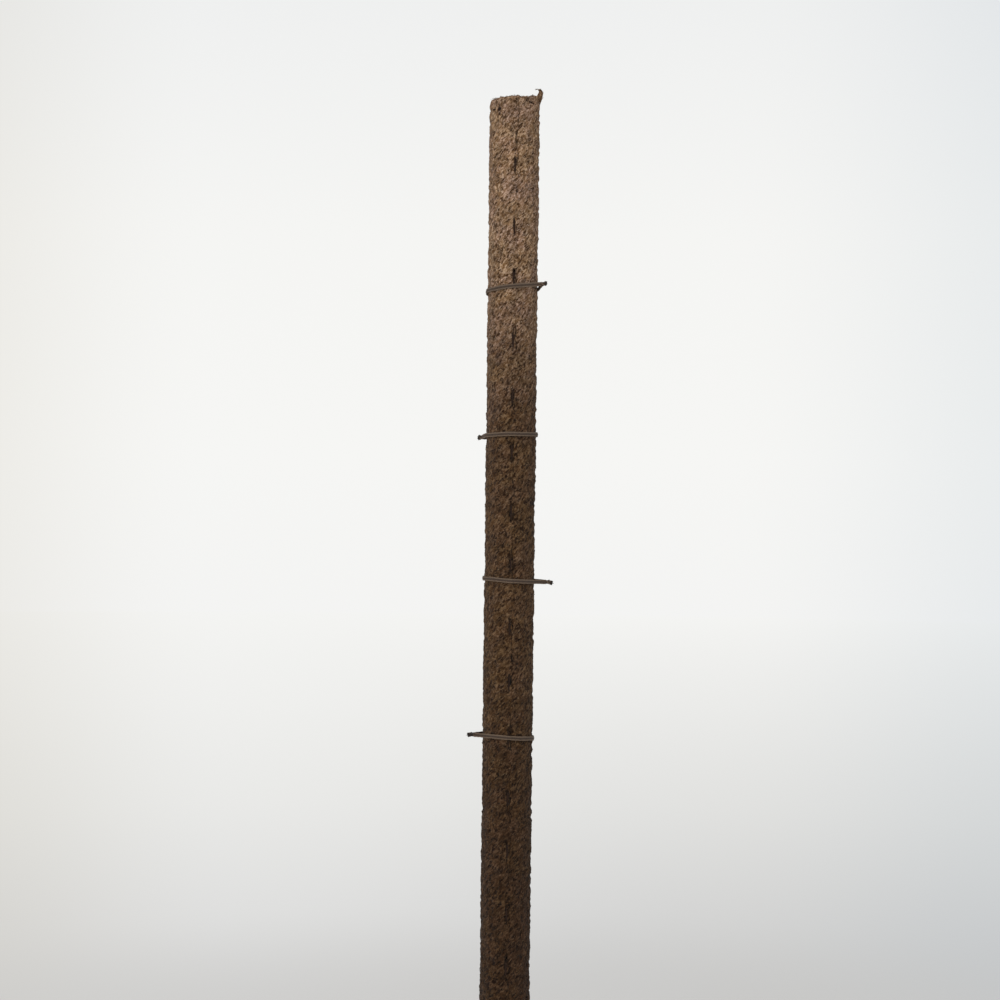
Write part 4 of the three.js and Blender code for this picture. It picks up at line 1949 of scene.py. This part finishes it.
        rings = rings + sway[:, None, None] * thick[:, None] + sag[:, None, None] * UP
        draft = MeshDraft()
        # Painted shade at each cut end of the strip.
        cut_end = 1 - smooth(from_end, self.black, self.end_shade_reach)
        draft.tubes(self.settled(rings)[None], along=np.repeat(marks, len(across)),
                    across=np.tile(across, len(marks)), cut_end=np.repeat(cut_end, len(across)))
        made = draft.build(f"paper_tie_{self.number}", material, self.sharp)
        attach(made, self.body)
        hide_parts(f"wire_tie_{self.number}")
        return made

    def settled(self, points: np.ndarray) -> np.ndarray:
        """Tips points of the level tie to its slope and lifts them to its height."""
        height = self.pole_top - self.top_inset - (self.number - 1 + self.drift_share) * self.pitch
        return points + (points @ self.outwards * self.slope_share + height)[..., None] * UP

    def wire_ends(self, material: bpy.types.Material) -> bpy.types.Object:
        """Builds the two stubs of wire that stick out of the cut ends.

        Args:
            material: The bare wire's material.

        Returns:
            Their piece.
        """
        line, thick, wide, _ = self.evened()
        draft = MeshDraft()
        swing = ring_angles(self.wire_sides)[:, None]
        reach = np.array([-self.wire_in, self.wire_out * self.wire_round_share, self.wire_out])
        size = self.wire * np.array([1, 1, self.wire_end_share])
        for end, sign in ((0, -1), (-1, 1)):
            travel = sign * np.cross(thick[end], wide[end])
            centres = line[end] + travel * reach[:, None] * (self.wire_short_share if sign > 0 else 1)
            round_way = np.cos(swing) * thick[end] + sign * np.sin(swing) * wide[end]
            rings = centres[:, None] + size[:, None, None] * round_way
            draft.tubes(self.settled(rings)[None])
        made = draft.build(f"tie_wire_ends_{self.number}", material, self.wire_sharp)
        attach(made, self.body)
        return made


@dataclass(frozen=True)
class Studio:
    """A plain pale room: the camera, two soft lamps, the floor and the wall's pale light."""

    eye_height: float = 0.4997
    eye_distance: float = 1.65
    eye_aside: float = -7.7 * MM
    lens: float = 79.2
    roll: float = radians(0.675)
    floor_radius: float = 8.0
    floor_albedo: Colour = linear(226, 225, 223)
    # Painted falloff on the far floor that the camera sees: darker near the pole, paler far off.
    floor_fade: tuple[tuple[float, Colour], ...] = (
        (0.5, linear(207, 207, 206)), (1.1, linear(218, 218, 217)), (2.0, linear(229, 229, 227)),
        (3.8, linear(237, 237, 235)), (8.0, linear(244, 244, 242)))
    # Painted light on the wall: palest just above level, darker higher up.
    wall_fade: tuple[tuple[float, Colour], ...] = (
        (-0.08, linear(243, 243, 242)), (0.02, linear(246, 246, 244)), (0.12, linear(245, 245, 243)),
        (0.24, linear(238, 239, 239)), (0.6, linear(230, 231, 232)))
    # Painted shade at the sides, warm at the left and cool at the right.
    dim_left: Colour = (0.9, 0.885, 0.855)
    dim_right: Colour = (0.875, 0.9, 0.925)
    left_shares: tuple[float, float] = (0.13, 0.27)
    right_shares: tuple[float, float] = (0.1, 0.26)
    # Painted light from the left and painted shade to the right, on the nearer floor.
    near_tilt: float = 0.16
    tilt_share: float = 0.13
    far_eye: float = 1.4
    nearest: float = 0.01
    plain_from: float = 0.3
    plain_full: float = 1.1
    grain_size: float = 0.05
    grain_share: float = 0.06
    grain_shade: float = 0.9
    floor_sides: int = 96
    fill: float = 0.62
    key_power: float = 42.0
    key_place: tuple[float, float, float] = (-1.5, -2.3, 1.9)
    key_size: tuple[float, float] = (1.5, 2.4)
    rim_power: float = 5.0
    rim_place: tuple[float, float, float] = (1.9, -1.2, 1.4)
    rim_size: tuple[float, float] = (1.2, 1.8)

    def set_camera(self) -> None:
        """Puts the camera level with the middle of the pole, turned a little as the picture is."""
        data = bpy.data.cameras.new("camera")
        data.lens = self.lens
        data.clip_end = 100
        camera = bpy.data.objects.new("camera", data)
        level = Matrix.Rotation(pi / 2, 4, "X")
        place = Matrix.Translation((self.eye_aside, -self.eye_distance, self.eye_height))
        camera.matrix_world = place @ level @ Matrix.Rotation(self.roll, 4, "Z")
        bpy.context.scene.collection.objects.link(camera)
        bpy.context.scene.camera = camera

    def add_lamp(self, name: str, power: float, place: Sequence[float], size: Sequence[float]) -> None:
        """Adds a soft lamp that faces the middle of the pole.

        Args:
            name: The lamp's name.
            power: Its power in watts.
            place: Where it is.
            size: Its width and height.
        """
        data = bpy.data.lights.new(name, "AREA")
        data.shape = "RECTANGLE"
        data.size, data.size_y = size
        data.energy = power
        lamp = bpy.data.objects.new(name, data)
        lamp.location = place
        aim = Vector((0, 0, self.eye_height)) - lamp.location
        lamp.rotation_euler = aim.to_track_quat("-Z", "Y").to_euler()
        bpy.context.scene.collection.objects.link(lamp)

    @staticmethod
    def shows_plainly(shader: Shader) -> Sock:
        """Tells what a ray is for.

        Args:
            shader: The shader that the ray meets.

        Returns:
            1 for a ray that comes from the camera, a mirror or clear glass, and 0 for light.
        """
        seen = [shader.node("ShaderNodeLightPath", output=f"Is {kind} Ray")
                for kind in ("Camera", "Glossy", "Transmission")]
        return shader.math("MAXIMUM", seen[0], shader.math("MAXIMUM", seen[1], seen[2]))

    def dimmed(self, colour: Sock, aside: Sock) -> Sock:
        """Paints shade on a colour by how far aside its place is, warm at the left and cool at the right."""
        colour = aside.between(*self.right_shares).choose(colour, colour * self.dim_right)
        return (0 - aside).between(*self.left_shares).choose(colour, colour * self.dim_left)

    def lay_floor(self) -> None:
        """Lays a pale floor that takes the pole's shadow, and further off glows with painted light and shade
        that fade into the wall.
        """
        shader, material = Shader.for_material("pale_floor")
        at = shader.place()
        reach = shader.length(at)
        aside = shader.part(at, "X") / (reach + self.far_eye)
        far = shader.math("LOGARITHM", reach + self.nearest, 10.0)
        stops = [(float(np.log10(place)), colour) for place, colour in self.floor_fade]
        near = 1 - (far - stops[0][0]) / (stops[-1][0] - stops[0][0])
        # Painted light from the left and painted shade to the right, strongest near the pole.
        tilt = 1 - (aside.between(-self.tilt_share, self.tilt_share) - 0.5) * near * self.near_tilt
        fade = self.dimmed(shader.fade(far, stops), aside) * tilt
        grain = shader.grain(at, self.grain_size)
        shade = tuple(self.grain_shade * part for part in self.floor_albedo)
        paint = shader.mix(grain * self.grain_share, self.floor_albedo, shade)
        solid = shader.node("ShaderNodeBsdfDiffuse", {}, {"Color": paint})
        # A painted glow that only the camera sees, where the floor is far off.
        plain = shader.node("ShaderNodeEmission", {}, {"Color": fade, "Strength": 1.0})
        share = reach.between(self.plain_from, self.plain_full) * self.shows_plainly(shader)
        shader.node("ShaderNodeOutputMaterial", {}, {"Surface": shader.mixed(share, solid, plain)})
        draft = MeshDraft()
        draft.faces.append(draft.add(around(self.floor_radius, ring_angles(self.floor_sides), 0)).tolist())
        draft.build("floor", material)

    def light_room(self) -> None:
        """Sets the room's even light, and the wall's colour where the camera sees it."""
        world = bpy.data.worlds.new("room")
        bpy.context.scene.world = world
        world.use_nodes = True
        shader = Shader(world.node_tree)
        way = shader.node("ShaderNodeTexCoord", output="Generated")
        # The wall that the camera sees is painted light and shade: palest just above level, darker higher up
        # and to the sides.
        wall = self.dimmed(shader.fade(shader.part(way, "Z"), self.wall_fade), shader.part(way, "X"))
        even = shader.node("ShaderNodeBackground", {}, {"Color": (1, 1, 1), "Strength": self.fill})
        seen = shader.node("ShaderNodeBackground", {}, {"Color": wall, "Strength": 1.0})
        both = shader.mixed(self.shows_plainly(shader), even, seen)
        shader.node("ShaderNodeOutputWorld", {}, {"Surface": both})

    def make(self) -> None:
        """Sets up the whole room."""
        bpy.context.scene.view_settings.view_transform = "Standard"
        self.set_camera()
        self.add_lamp("key_lamp", self.key_power, self.key_place, self.key_size)
        self.add_lamp("side_lamp", self.rim_power, self.rim_place, self.rim_size)
        self.lay_floor()
        self.light_room()
        log.info("room is set")


def main() -> None:
    """Builds the room and then the pole, from the inside out."""
    logging.basicConfig(level=logging.INFO, format="%(name)s: %(message)s")
    Studio().make()
    Dowel().make(WoodFinish().make())
    wrap = FeltWrap()
    felt = wrap.make(FeltFinish().make())
    loose = StrandFinish().make()
    coat = StrandCoat(wrap)
    coir = [coat.make(loose), CrumbCoat(coat).make(loose)]
    wrap.section.wrapped_length()
    Staples().dress(WireFinish().make())
    paper, wire = TieFinish().make(), TieWireFinish().make()
    for number, (degrees, slope_share, drift_share) in enumerate(TIE_PLACES, start=1):
        tie = WireTie(number, radians(degrees), slope_share, drift_share)
        tie.strip(paper)
        tie.wire_ends(wire)
        log.info("tie %d rides %s", number, tie.body)


if __name__ == "__main__":
    main()
